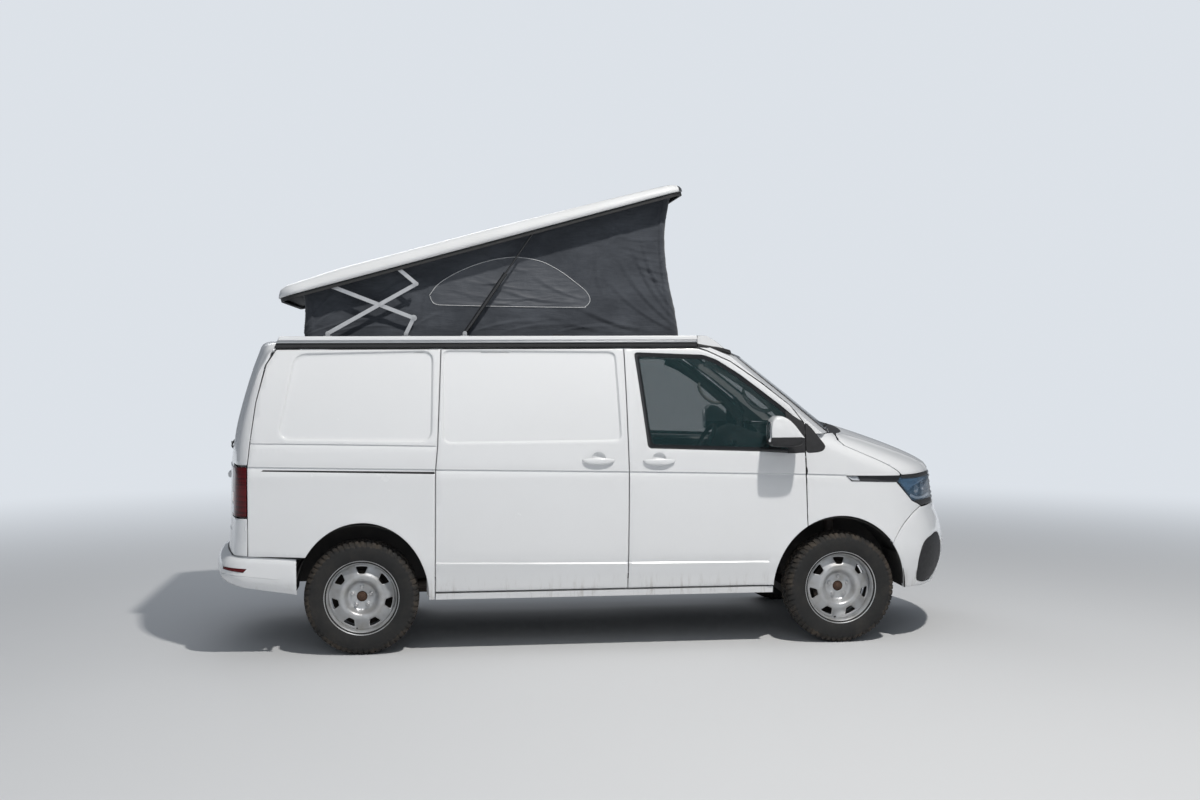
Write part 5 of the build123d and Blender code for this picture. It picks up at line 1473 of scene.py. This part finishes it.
# Folds of the side walls, as (from x, z, to x, z, height, half width), read from the photograph
FOLDS = ((545, 1965, 60, 2330, 5, 16), (548, 1990, 150, 2460, 6, 18), (540, 2030, 240, 2540, 5, 16),
         (530, 2080, 300, 2600, 5, 16), (505, 2200, 330, 2430, 4, 14), (500, 2280, 300, 2360, 4, 12),
         (492, 2340, 250, 2420, 5, 14), (488, 2420, 200, 2480, 4, 13), (480, 2480, 160, 2530, 4, 13),
         (470, 2560, 120, 2590, 3, 12), (560, 1955, -300, 2080, 5, 22), (540, 1960, -200, 2180, 5, 20),
         (430, 1956, -60, 2120, 4, 18), (60, 2200, 20, 2480, 4, 22), (-20, 2260, 180, 2640, 4, 20),
         (-60, 2180, -420, 2360, 4, 18), (-120, 2160, -640, 2270, 4, 14), (-200, 2150, -820, 2210, 4, 13),
         (-260, 2200, -900, 2240, 3, 12), (-330, 2240, -760, 2330, 3, 14), (-420, 2180, -960, 2170, 3, 12),
         (-500, 2300, -800, 2290, 3, 12), (-380, 2350, -560, 2400, 3, 16), (-1795, 1965, -1500, 2160, 5, 16),
         (-1800, 2000, -1560, 2260, 4, 14), (-1790, 1958, -1250, 2060, 5, 18),
         (-1700, 1955, -1150, 2000, 4, 14), (-1200, 1960, -900, 2110, 4, 16),
         (-1080, 2040, -1010, 2300, 4, 20), (-1350, 2200, -1050, 2330, 4, 18),
         (-820, 1956, -300, 2040, 4, 18), (-640, 1954, -60, 2010, 3, 14), (-300, 1954, 200, 1998, 4, 14),
         (-700, 2460, -500, 2330, 4, 18), (-300, 2560, -200, 2420, 4, 18), (100, 2670, 200, 2560, 4, 16),
         (420, 2760, 380, 2640, 4, 14), (-1100, 2390, -1020, 2280, 3, 16))


# Folds of the end walls, from the middle of the wall outwards
END_FOLDS = ((0, 1960, -400, 2300, 5, 18), (-20, 2000, -260, 2500, 5, 18), (-10, 2100, -180, 2640, 5, 16),
             (-30, 2400, -500, 2420, 4, 14), (-60, 1960, -640, 2040, 4, 16), (-640, 2200, -300, 2260, 4, 14),
             (-640, 2560, -200, 2600, 4, 16), (-20, 2700, -420, 2560, 4, 18))
# Outline of the cloth's side windows, as (x, z)
PANE_POINTS = ((-1032, 2204), (-1014, 2164), (-984, 2147), (-900, 2142), (-520, 2134), (-93, 2129),
               (-52, 2134), (-26, 2160), (-24, 2192), (-52, 2236), (-117, 2290), (-213, 2360), (-330, 2418),
               (-471, 2444), (-590, 2436), (-700, 2410), (-806, 2372), (-914, 2318), (-985, 2266))


def fold_height(a, z, folds):
    """Height of the cloth's folds at one place: each fold is a sharp crest that fades at its ends."""
    total = 0.0
    for x0, z0, x1, z1, high, wide in folds:
        dx, dz = x1 - x0, z1 - z0
        size = dx * dx + dz * dz
        t = ((a - x0) * dx + (z - z0) * dz) / size
        if -0.1 < t < 1.05:
            length = math.sqrt(size)
            bend = 0.06 * length * math.sin(math.pi * unit(t))
            d = ((a - x0) * dz - (z - z0) * dx) / length + bend
            width = wide * (0.32 + 0.8 * unit(t))
            fade = math.sin(math.pi * unit(t * 0.9 + 0.1)) ** 0.7
            crest, hollow = math.exp(-abs(d) / width), math.exp(-abs(d + 1.4 * width) / width)
            total += 1.7 * high * fade * (crest - 0.55 * hollow)
    return total


def crumple(a, z, seed=0.0):
    """Small creases left by folding."""
    place = Vector((a * 0.006, z * 0.009, seed))
    ridge = 1 - abs(noise.noise(place)) * 3
    fine = 1 - abs(noise.noise(place * 2.7 + Vector((4, 9, 2)))) * 3
    return 1.7 * max(ridge, -0.4) + 0.7 * max(fine, -0.4)


def under_roof(x):
    """Height at which the canvas is clamped under the tilted roof."""
    return on_shell(0, 0, 40).z + (x - on_shell(0, 0, 40).x) * math.tan(TILT)


def pinned(t):
    """Share of the folds that is left near the cloth's clamped foot and top."""
    return min(1.0, t * 14, (1 - t) * 10)


def canvas_point(s, t):
    """Place on the canvas: s runs round its foot's outline, t from its foot to the roof."""
    turn = 0
    while s > CANVAS_RUNS[turn % 4]:
        s -= CANVAS_RUNS[turn % 4]
        turn += 1
    rear, front, half = CANVAS_REAR + CANVAS_CORNER, CANVAS_FRONT - CANVAS_CORNER, CANVAS_HALF - CANVAS_CORNER
    if turn in (0, 4):
        k = 1 if turn == 0 else -1
        x, y, out = rear + s if turn == 0 else front - s, -k * CANVAS_HALF, Vector((0, -k, 0))
    elif turn in (2, 6):
        k = 1 if turn == 2 else -1
        x, y, out = CANVAS_FRONT if turn == 2 else CANVAS_REAR, k * (s - half), Vector((k, 0, 0))
    else:
        a = math.radians({1: -90, 3: 0, 5: 90, 7: 180}[turn] + 90 * (s / CANVAS_RUNS[1]))
        out = Vector((math.cos(a), math.sin(a), 0))
        x = (front if turn in (1, 3) else rear) + CANVAS_CORNER * math.cos(a)
        y = (-half if turn in (1, 7) else half) + CANVAS_CORNER * math.sin(a)
    along = (x - CANVAS_REAR) / (CANVAS_FRONT - CANVAS_REAR)
    top_x = x - 40 * max(0.0, (along - 0.2) / 0.8) - 14 * max(0.0, 1 - along * 5)
    z = CURB_TOP + 1 + (under_roof(top_x) - CURB_TOP - 1) * t
    px = x + (top_x - x) * t
    waist = math.sin(math.pi * t ** 1.35)
    if out.x >= -0.01:
        px -= FRONT_DRAW[0] * max(0.0, 1 - (CANVAS_FRONT - x) / FRONT_DRAW[1]) ** 1.6 * waist
    if out.x <= 0.01:
        px += REAR_DRAW[0] * max(0.0, 1 - (x - CANVAS_REAR) / REAR_DRAW[1]) ** 1.6 * waist
    hollow = (9 + 7 * abs(out.y)) * math.sin(math.pi * t) * (1 - out.x ** 2) * (1 if turn % 2 == 0 else 0.4)
    if abs(out.y) > 0.5:
        lift = fold_height(px, z, FOLDS) + crumple(px, z, 3.0 * y / abs(y))
    else:
        lift = fold_height(abs(y) - 640, z, END_FOLDS) + crumple(y, z, 8.0 + out.x)
    return Vector((px, y, z)) - out * hollow + out * (lift * pinned(t))


def build_canvas():
    """One continuous wrinkled sheet round the raised roof, with its windows and their piping."""
    rings = [[canvas_point(CANVAS_LAP * k / CANVAS_COLUMNS, i / CANVAS_ROWS) for k in range(CANVAS_COLUMNS)]
             for i in range(CANVAS_ROWS + 1)]
    cloth = lofted("roof_canvas", rings, CANVAS, caps=False, smooth=70)
    cloth.data.materials.append(CANVAS_WINDOW)
    outline = [tuple(p) for p in curve_through([*PANE_POINTS, PANE_POINTS[0]], 6)[:-1]]
    grid = np.array([[tuple(p) for p in ring] for ring in rings])
    grid = grid + np.roll(grid, -1, axis=1)
    centres = ((grid[:-1] + grid[1:]) / 4).reshape(-1, 3)
    inside = (away(centres[:, (0, 2)], outline) > 0) & (np.abs(centres[:, 1]) > 600)
    cloth.data.polygons.foreach_set("material_index", inside.astype(np.int32))
    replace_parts(cloth, "canvas")
    pieces = [cloth]
    for side, hand in HAND.items():
        line = []
        for x, z in outline:
            lift = fold_height(x, z, FOLDS) + crumple(x, z, 3.0 * side)
            t = (z - CURB_TOP) / (under_roof(x) - CURB_TOP)
            y = CANVAS_HALF - 16 * math.sin(math.pi * t) + lift * pinned(t) + 1.0
            line.append(Vector((x, side * y, z)))
        pieces.append(tube(f"window_piping_{hand}", line, (3.2, 2.4), PIPING, closed=True, sides=6))
    for piece in pieces:
        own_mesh(piece)


build_shell()
build_canvas()

RAIL_BACK, RAIL_FRONT, RAIL_LEAN = -1968.0, 634.0, 0.42
# The rail's section outside of the roof, as (half width, z, finish of the strip that follows)
RAIL_SECTION = ((802, 1947, 0), (846, 1947, 0), (850, 1945, 0), (852, 1941, 0), (852, 1924, 0),
                (850, 1922, 1), (847, 1921, 1), (847, 1916, 1), (851, 1914.5, 1), (852, 1913, 1),
                (852, 1906, 1), (850, 1904.5, 2), (842, 1904, 2), (842, 1898, 2), (848, 1897, 2),
                (850, 1895, 2), (850, 1882, 2), (844, 1877, 2), (802, 1880, 2))
# The front fairing's sections, as (x, height, half width, height of its side's foot)
FAIRING = ((637, 1940, 838, 1899), (641, 1947, 840, 1897), (655, 1950, 840, 1894), (667, 1950, 840, 1892),
           (669, 1950, 839, 1891), (700, 1947, 838, 1886), (735, 1935, 834, 1880), (770, 1917, 827, 1873),
           (800, 1896, 816, 1867), (825, 1878, 800, 1861), (845, 1864, 778, 1855), (858, 1854, 748, 1850),
           (865, 1849, 700, 1848))
# Pivots of the lift linkage, as (body, x, z, outer face's half width, head radius)
PIVOTS = (("body", -1655.9, 1966.4, 751, 9), ("body", -1178.7, 1963.1, 716, 8),
          ("body", -815.0, 1966.0, 753, 8), ("long_arms", -1341.0, 2143.3, 739, 9),
          ("long_arms", -1112.0, 2272.0, 752, 8), ("short_arms", -1130.8, 2061.6, 727, 8),
          ("roof", -1624.6, 2253.6, 728, 8), ("roof", -1233.0, 2374.2, 760, 8),
          ("roof", -372.0, 2612.0, 753, 7))


def build_rails():
    """Awning rails: a white lip, a dark groove, a bright line and a black foot."""
    for side, flip in SIDES:
        rings = []
        for x, shrink in ((RAIL_BACK, 3.0), (RAIL_BACK + 4, 0.0), (RAIL_FRONT - 4, 0.0), (RAIL_FRONT, 3.0)):
            lean = RAIL_LEAN if x < 0 else 0.0
            rings.append([(x + lean * (z - 1880), -(y - shrink), z - (shrink if z > 1915 else -shrink))
                          for y, z, _ in RAIL_SECTION])
        rail = lofted(f"awning_rail_{side}", rings, PAINT, slot="rail_aluminium", mirror=flip, smooth=30)
        for material in (RAIL_METAL, BLACK_TRIM):
            rail.data.materials.append(material)
        count = len(RAIL_SECTION)
        for i, face in enumerate(rail.data.polygons):
            face.material_index = RAIL_SECTION[i % count][2] if i < 3 * count else 2
        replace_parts(rail, "roof_rails")
        k = 1 if flip else -1
        drip = [Vector((x, k * (section(1871) + 1), 1871)) for x in np.linspace(-1950, 640, 60)]
        tube(f"drip_seal_{side}", drip, (3.5, 3.5), SEAL, sides=8)
        clamp = [[(x, k * y, z) for x, z in ((-274, 1946), (-274, 1956), (-206, 1956), (-206, 1946))]
                 for y in (806, 842)]
        lofted(f"rail_clamp_{side}_0", clamp if flip else clamp[::-1], BLACK_TRIM, smooth=20)


def build_fairing():
    """White wedge in front of the raised roof, from rail to rail, over a black seal."""
    rings = []
    for x, top, half, low in FAIRING:
        ring = [(x, -half, low)]
        near = [-half, -half + 3, -half + 10, *(t * (half - 10) for t in (-0.985, -0.96, -0.93))]
        for y in (*near, *np.linspace(-0.88, 0.88, 21) * (half - 10), *(-t for t in near[::-1])):
            lip = 3.0 * max(0.0, (abs(y) - half + 10) / 10) ** 2
            z = top - lip - (ROOF_Z - crown(y)) * min(1.0, 0.06 + max(0.0, (x - 700) / 170))
            if x < 668 and abs(y) <= 791:
                z = crown(y) + 1
            ring.append((x, y, z))
        rings.append([*ring, (x, half, low)])
    wedge = lofted("roof_fairing_skin", rings[::-1], PAINT, smooth=35)
    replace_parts(wedge, "roof_fairing")
    side = [(638, -837, 1886), (700, -834, 1876), (762, -828, 1866), (806, -816, 1857), (836, -796, 1850),
            (858, -768, 1845)]
    front = [(876, y, 1848 - (ROOF_Z - crown(y)) * 0.8) for y in np.linspace(-700, 700, 21)]
    path = [Vector(p) for p in side + front + [(x, -y, z) for x, y, z in side[::-1]]]
    tube("fairing_seal", path, (6, 11), SEAL, sides=10)


def build_pivots():
    """Round heads on the linkage's pins, and the struts' collars."""
    for k, (body, x, z, face, r) in enumerate(PIVOTS):
        button = ((-0.5, r), (2.2, r), (3.6, r - 1.4), (3.6, r - 4), (2.4, r - 4.4), (2.4, 0.6))
        for side, hand in HAND.items():
            rings = [[(x + q * math.cos(a), side * (face + y), z + q * math.sin(a)) for a in turns(24)]
                     for y, q in button]
            lofted(f"pin_head_{k}_{hand}", rings[::-side], ZINC, body, smooth=30)
    foot, head = Vector((-815.0, 0, 1966.0)), Vector((-372.0, 0, 2612.0))
    along = (head - foot).normalized()
    for side, hand in HAND.items():
        out = Vector((0, 730 * side, 0))
        for k, (at, r, long, material) in enumerate(((448, 14.0, 5, GLOSS_BLACK), (22, 10.5, 16, ZINC))):
            start = foot + out + along * at
            tube(f"strut_collar_{k}_{hand}", [start, start + along * long], r, material, "strut_tubes",
                 slot="strut_black", sides=20)


# Inside the cab

SEAT_X, SEAT_Y = 640.0, 420.0
SEAT_LEAN, SEAT_FACE = Vector((-0.235, 0, 0.972)), Vector((0.972, 0, 0.235))


def pad_section(middle, face, wide, thick, bolster):
    """Section of a seat pad: rounded, with raised side bolsters on its face."""
    ring = []
    for a in turns(40):
        c, s = math.cos(a), math.sin(a)
        u = math.copysign(abs(c) ** 0.5, c)
        v = math.copysign(abs(s) ** 0.62, s)
        edge = abs(u)
        rise = bolster * (max(0.0, edge - 0.5) / 0.5) ** 1.3 * (1 - 0.55 * max(0.0, edge - 0.86) / 0.14)
        seam = -3.0 * math.exp(-((edge - 0.52) / 0.035) ** 2)
        if v <= 0:
            rise = seam = 0.0
        ring.append(middle + ACROSS * (u * wide / 2) + face * (v * thick / 2 + rise + seam))
    return ring


def pad(name, rings, node=None, fill=0.8):
    piece = lofted(name, rings, SEAT_CLOTH, smooth=60)
    if node:
        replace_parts(piece, node)


def cushion(name, count, power, face, place, size, flip=False, **rest):
    """Pad along a line: place and size give its middle and its (width, thickness, bolster) on the way."""
    rings = []
    for t in np.linspace(0.004, 0.996, count):
        full = (1 - abs(2 * t - 1) ** power) ** (1 / power)
        rings.append(pad_section(place(t), face, *size(t, full)))
    pad(name, rings[::-1] if flip else rings, **rest)


def box(name, x, y, levels, material, smooth=20):
    """Upright box between two x and two y; levels are (z, how far its sides have moved in)."""
    rings = [[(x[0] + d, y[0] + d * e, z), (x[1] - d, y[0] + d * e, z), (x[1] - d, y[1] - d * e, z),
              (x[0] + d, y[1] - d * e, z)] for z, d, e in levels]
    return lofted(name, rings, material, smooth=smooth)


def build_seat(side):
    y, name = SEAT_Y * side, HAND[side]

    def seat_place(t):
        crease = 2.5 * math.exp(-((t - 0.42) / 0.02) ** 2)
        return Vector((SEAT_X - 245 + 490 * t, y, 818 + 12 * t - crease))

    def back_size(t, full):
        wide = 450 - 60 * max(0.0, t - 0.55) / 0.45
        return wide * (0.78 + 0.22 * full), (108 - 26 * t) * full + 2, 26 * full * (1 - 0.5 * t)

    cushion(f"seat_cushion_{name}", 25, 5.0, UP, seat_place,
            lambda t, full: (470 * (0.80 + 0.20 * full), 108 * full + 2, 22 * full), True, node="front_seats")
    cushion(f"seat_back_{name}", 29, 5.0, SEAT_FACE,
            lambda t: Vector((SEAT_X - 196, y, 872)) + SEAT_LEAN * (545 * t), back_size)
    cushion(f"head_rest_{name}", 17, 3.0, SEAT_FACE,
            lambda t: Vector((SEAT_X - 318, y, 1448)) + SEAT_LEAN * (150 * t),
            lambda t, full: (235 * (0.72 + 0.28 * full), 74 * full + 2, 0), fill=0.9)
    for k in (-1, 1):
        foot = Vector((SEAT_X - 300, y + 55 * k, 1385))
        tube(f"head_rest_post_{name}_{k + 1}", [foot, foot + SEAT_LEAN * 80], 5, CHROME, slot="arm_steel")
    box(f"seat_base_{name}", (SEAT_X - 205, SEAT_X + 185), (y - 198, y + 198),
        ((476, 0, 0), (690, 0, 0), (762, 25, 0)), DASH)
    start = Vector((SEAT_X - 175, y - 232 * side, 990))
    rings = []
    for d, r in ((-20, 0.2), (-12, 0.8), (0, 1), (230, 0.92), (248, 0.7), (254, 0.2)):
        middle = start + Vector((d, 0, 0))
        rings.append([middle + Vector((0, 24 * math.cos(a), 20 * math.sin(a))) * r for a in turns(16)])
    pad(f"arm_rest_{name}", rings[::-1], fill=0.9)


def build_steering_wheel():
    centre = Vector((900, 420, 1160))
    rake = math.radians(62)
    axis, over = Vector((-math.sin(rake), 0, math.cos(rake))), Vector((math.cos(rake), 0, math.sin(rake)))

    def at(r, a, h=0.0):
        return centre + (over * math.cos(a) + ACROSS * math.sin(a)) * r + axis * h

    rings = []
    for a in np.linspace(0, 2 * math.pi, 73):
        middle = at(183, a)
        out = (middle - centre).normalized()
        rings.append([middle + out * 13.5 * math.cos(b) + axis * 15 * math.sin(b) for b in turns(16)])
    rim = lofted("steering_rim", rings, DASH, caps=False, smooth=60)
    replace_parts(rim, "steering_wheel")
    for k, a in enumerate((90, 270, 148, 212)):
        a = math.radians(a)
        tube(f"steering_spoke_{k}", [at(50, a, -12), at(110, a, -6), at(176, a, 0)], (17, 8), DASH, sides=12)
    rings = [[at(r, a, h) for a in turns(32)]
             for r, h in ((60, -40), (74, -20), (76, 0), (68, 12), (50, 18), (25, 20), (2, 20.5))]
    lofted("steering_hub", rings[::-1], DASH, smooth=40)
    tube("steering_column", [at(0, 0, -190), at(0, 0, -35)], 30, DASH, sides=24)
    for k, a in enumerate((75, 285)):
        a = math.radians(a)
        tube(f"column_stalk_{k}", [at(20, a, -60), at(150, a, -48), at(172, a, -46)], (6, 6), DASH)


DASH_SECTION = soft_line((1396, 1196), (1380, 1236), (1330, 1262), (1240, 1282), (1160, 1290), (1096, 1278),
                         (1052, 1248), (1030, 1206), (1016, 1130), (1010, 1040), (1040, 960), (1062, 904))


def build_dash():
    """Rolled dashboard with a hood over the dials, a dark screen and round vents."""
    half = 868.0
    rings = []
    for y in np.linspace(-half, half, 90):
        hood = math.exp(-((y - SEAT_Y) / 150) ** 4) * 46
        middle = math.exp(-(y / 150) ** 4) * 26
        ring = []
        for x, z in DASH_SECTION:
            front = unit((1250 - x) / 120) * unit((z - 1120) / 100)
            low = unit((1180 - z) / 120)
            ring.append((x - 20 * front * (hood / 46) - middle * low, y, z + hood * front))
        rings.append(ring + [(1100, y, 902), (1104, y, 1180), (1330, y, 1184)])
    piece = lofted("dash_roll", rings[::-1], DASH, smooth=40)
    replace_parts(piece, "dashboard")
    screen = rounded([(-115, 1150), (-115, 1242), (115, 1242), (115, 1150)], 12, 4)
    plate("dash_screen", [(1012 + 0.25 * (z - 1150), y, z) for y, z in screen][::-1], GLOSS_BLACK, -8,
          slot="dash_plastic")
    for k, y in enumerate((-770, -190, 190, 770)):
        for j in range(3):
            tube(f"dash_vent_{k}_{j}", [(1020 + 6 * j, y + end, 1180 + 18 * j) for end in (-55, 55)], (5, 4),
                 GLOSS_BLACK, slot="dash_plastic", sides=8)


def build_cab_trim():
    """Pale pillar trims with their grab handles, and the doors' inner panels."""
    trim = ((1262, 1362), (1180, 1452), (1060, 1560), (930, 1660), (800, 1742), (700, 1786))
    card = rounded([(236, 430), (236, 1236), (1248, 1190), (1248, 820), (1060, 700), (1000, 430)], 60, 5)
    ledge = soft_line((250, 900), (700, 905), (1240, 925))
    for side, flip in SIDES:
        k = 1 if flip else -1
        door = f"front_door_{side}"
        line = curve_through([(x, k * (section(z) - 84), z) for x, z in trim], 5)
        tube(f"pillar_trim_{side}", [Vector(p) for p in line], (22, 34), LINING, sides=16)
        grab = []
        for t in np.linspace(0, 1, 17):
            x, z, bow = 1120 - 170 * t, 1480 + 140 * t, math.sin(math.pi * t) ** 0.5
            grab.append(Vector((x - 36 * bow, k * (section(z) - 112 - 18 * bow), z - 44 * bow)))
        tube(f"grab_handle_{side}", grab, (10, 12), PALE_TRIM, sides=12)
        drape(f"door_card_{side}", side_surface, card, DASH, 2.5, door, lift=-(DOOR_WALL - 1.0), mirror=flip,
              step=60)
        rest = [Vector((x, k * (section(z) - DOOR_WALL - 16), z)) for x, z in ledge]
        tube(f"door_arm_rest_{side}", rest[2:-3], (18, 26), DASH, door, sides=14)


def build_living():
    """Rear bench and the kitchen block."""
    middle, wide = 110.0, 850.0
    seat = wide / 2 - 6
    for k, y in enumerate((middle - wide / 4, middle + wide / 4)):
        cushion(f"bench_cushion_{k}", 21, 6.0, UP, lambda t: Vector((-1240 + 530 * t, y, 808)),
                lambda t, full: (seat * (0.86 + 0.14 * full), 126 * full + 2, 6 * full), True,
                node="rear_bench")
        cushion(f"bench_back_{k}", 23, 6.0, Vector((1, 0, 0)),
                lambda t: Vector((-1322, y, 880)) + UP * (515 * t),
                lambda t, full: (seat * (0.86 + 0.14 * full), 126 * full + 2, 8 * full))
    box("bench_box", (-1246, -706), (middle - wide / 2, middle + wide / 2), ((477, 0, 0), (744, 0, 0)),
        CABINET)
    piece = box("kitchen_carcass", (-638, 98), (482, 866), ((477, 0, 0), (1262, 0, 0)), CABINET)
    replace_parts(piece, "kitchen_block")
    box("worktop", (-640, 100), (480, 868), ((1263, 0, 1), (1286, 0, 1), (1289, 3, 1)), DASH)
    for k in range(3):
        x = -628 + 242 * k
        door = rounded([(x, 520), (x + 232, 520), (x + 232, 1240), (x, 1240)], 12, 4)
        plate(f"cabinet_door_{k}", [(u, 476.5, z) for u, z in door], CABINET, -5)
        tube(f"cabinet_knob_{k}", [(x + 200, 476, 1180), (x + 200, 468, 1180)], 9, CHROME, slot="arm_steel",
             sides=16)


build_rails()
build_fairing()
build_pivots()
for side in HAND:
    build_seat(side)
build_steering_wheel()
build_dash()
build_cab_trim()
build_living()

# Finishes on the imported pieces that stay

KEPT = {
    PAINT: ["roof_panel", "sills", "windscreen_frame", "body_frame"],
    LINING: ["roof_liner"],
    SEAL: ["roof_seal"],
    BLACK_TRIM: ["cowl", "grille", "pop_top_curb", "fuel_tank"],
    UNDERSEAL: ["floor_pan", "front_structure"],
    IRON: ["front_subframe", "rear_axle", "knuckle_left", "knuckle_right", "exhaust"],
    ALLOY: ["engine_block"],
    GLASS: ["door_glass_left", "door_glass_right"],
    SCREEN_GLASS: ["windscreen"],
    LENS_GLASS: ["headlamps"],
    ZINC: ["long_arms", "short_arms", "upper_links", "lower_links", "roof_brackets"],
    GLOSS_BLACK: ["strut_tubes", "strut_rods"],
}
for material, names in KEPT.items():
    for name in names:
        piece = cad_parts[name]
        for slot in piece.material_slots:
            slot.material = material

# Floor, lights and camera

FLOOR = (0.66, 0.67, 0.68)
BACKDROP = (0.72, 0.76, 0.81)
SKY, SKY_STRENGTH = (0.80, 0.87, 0.97), 0.27
# Area lights, as (name, place, size in metres, power in watts, colour)
LIGHTS = (("sun", (2.2, -6.0, 9.8), 0.35, 860.0, (1.0, 0.97, 0.93)),
          ("sky", (-1.5, -9.5, 4.5), 6.0, 80.0, (0.92, 0.96, 1.0)),
          ("back", (-2.5, 8.5, 6.0), 5.0, 170.0, (0.95, 0.97, 1.0)))
LIGHTS_AIM = Vector((0.2, 0, 1.0))


def build_stage():
    bpy.ops.mesh.primitive_plane_add(size=60, location=(0, 0, 0))
    floor = bpy.context.object
    floor.name = "floor"
    ground = bpy.data.materials.new("pale_floor")
    ground.use_nodes = True
    tree = ground.node_tree
    shader = tree.nodes["Principled BSDF"]
    shader.inputs["Roughness"].default_value = 0.9
    start = Shade(tree, None)
    x, y, _ = start.pick("ShaderNodeTexCoord", 3).parts()
    seen = start.pick("ShaderNodeLightPath", 0)
    for output in ("Is Glossy Ray", "Is Transmission Ray"):
        seen = seen.maths("MAXIMUM", start.pick("ShaderNodeLightPath", output))
    far = (x * x + y * y).maths("SQRT").band(4.0, 12.0) * seen
    tree.links.new(far.tint(FLOOR, (0, 0, 0)).socket, shader.inputs["Base Color"])
    tree.links.new(far.tint((0, 0, 0), BACKDROP).socket, shader.inputs["Emission Color"])
    shader.inputs["Emission Strength"].default_value = 1.0
    shader.inputs["Specular IOR Level"].default_value = 0.0
    floor.data.materials.append(ground)
    world = bpy.data.worlds.new("studio")
    scene.world = world
    world.use_nodes = True
    tree = world.node_tree
    back = tree.nodes["Background"]
    back.inputs["Color"].default_value = (*SKY, 1)
    back.inputs["Strength"].default_value = SKY_STRENGTH
    bright = tree.nodes.new("ShaderNodeBackground")
    bright.inputs["Color"].default_value = (*BACKDROP, 1)
    bright.inputs["Strength"].default_value = 1.0
    path = tree.nodes.new("ShaderNodeLightPath")
    blend = tree.nodes.new("ShaderNodeMixShader")
    tree.links.new(path.outputs["Is Camera Ray"], blend.inputs[0])
    tree.links.new(back.outputs[0], blend.inputs[1])
    tree.links.new(bright.outputs[0], blend.inputs[2])
    tree.links.new(blend.outputs[0], tree.nodes["World Output"].inputs["Surface"])
    for name, place, size, power, tint in LIGHTS:
        light = bpy.data.lights.new(name, "AREA")
        light.size = size
        light.energy = power
        light.color = tint
        lamp = bpy.data.objects.new(name, light)
        lamp.location = place
        lamp.rotation_euler = (LIGHTS_AIM - Vector(place)).to_track_quat("-Z", "Y").to_euler()
        scene.collection.objects.link(lamp)


def build_camera():
    lens = bpy.data.cameras.new("camera")
    lens.lens = LENS_MM
    lens.sensor_width = 36.0
    lens.sensor_fit = "HORIZONTAL"
    lens.clip_end = 200
    camera = bpy.data.objects.new("camera", lens)
    turn = Matrix((LOOK_RIGHT, LOOK_UP, -LOOK_AHEAD)).transposed()
    camera.matrix_world = Matrix.Translation(EYE) @ turn.to_4x4()
    scene.collection.objects.link(camera)
    scene.camera = camera


build_stage()
build_camera()
scene.view_settings.view_transform = "Standard"
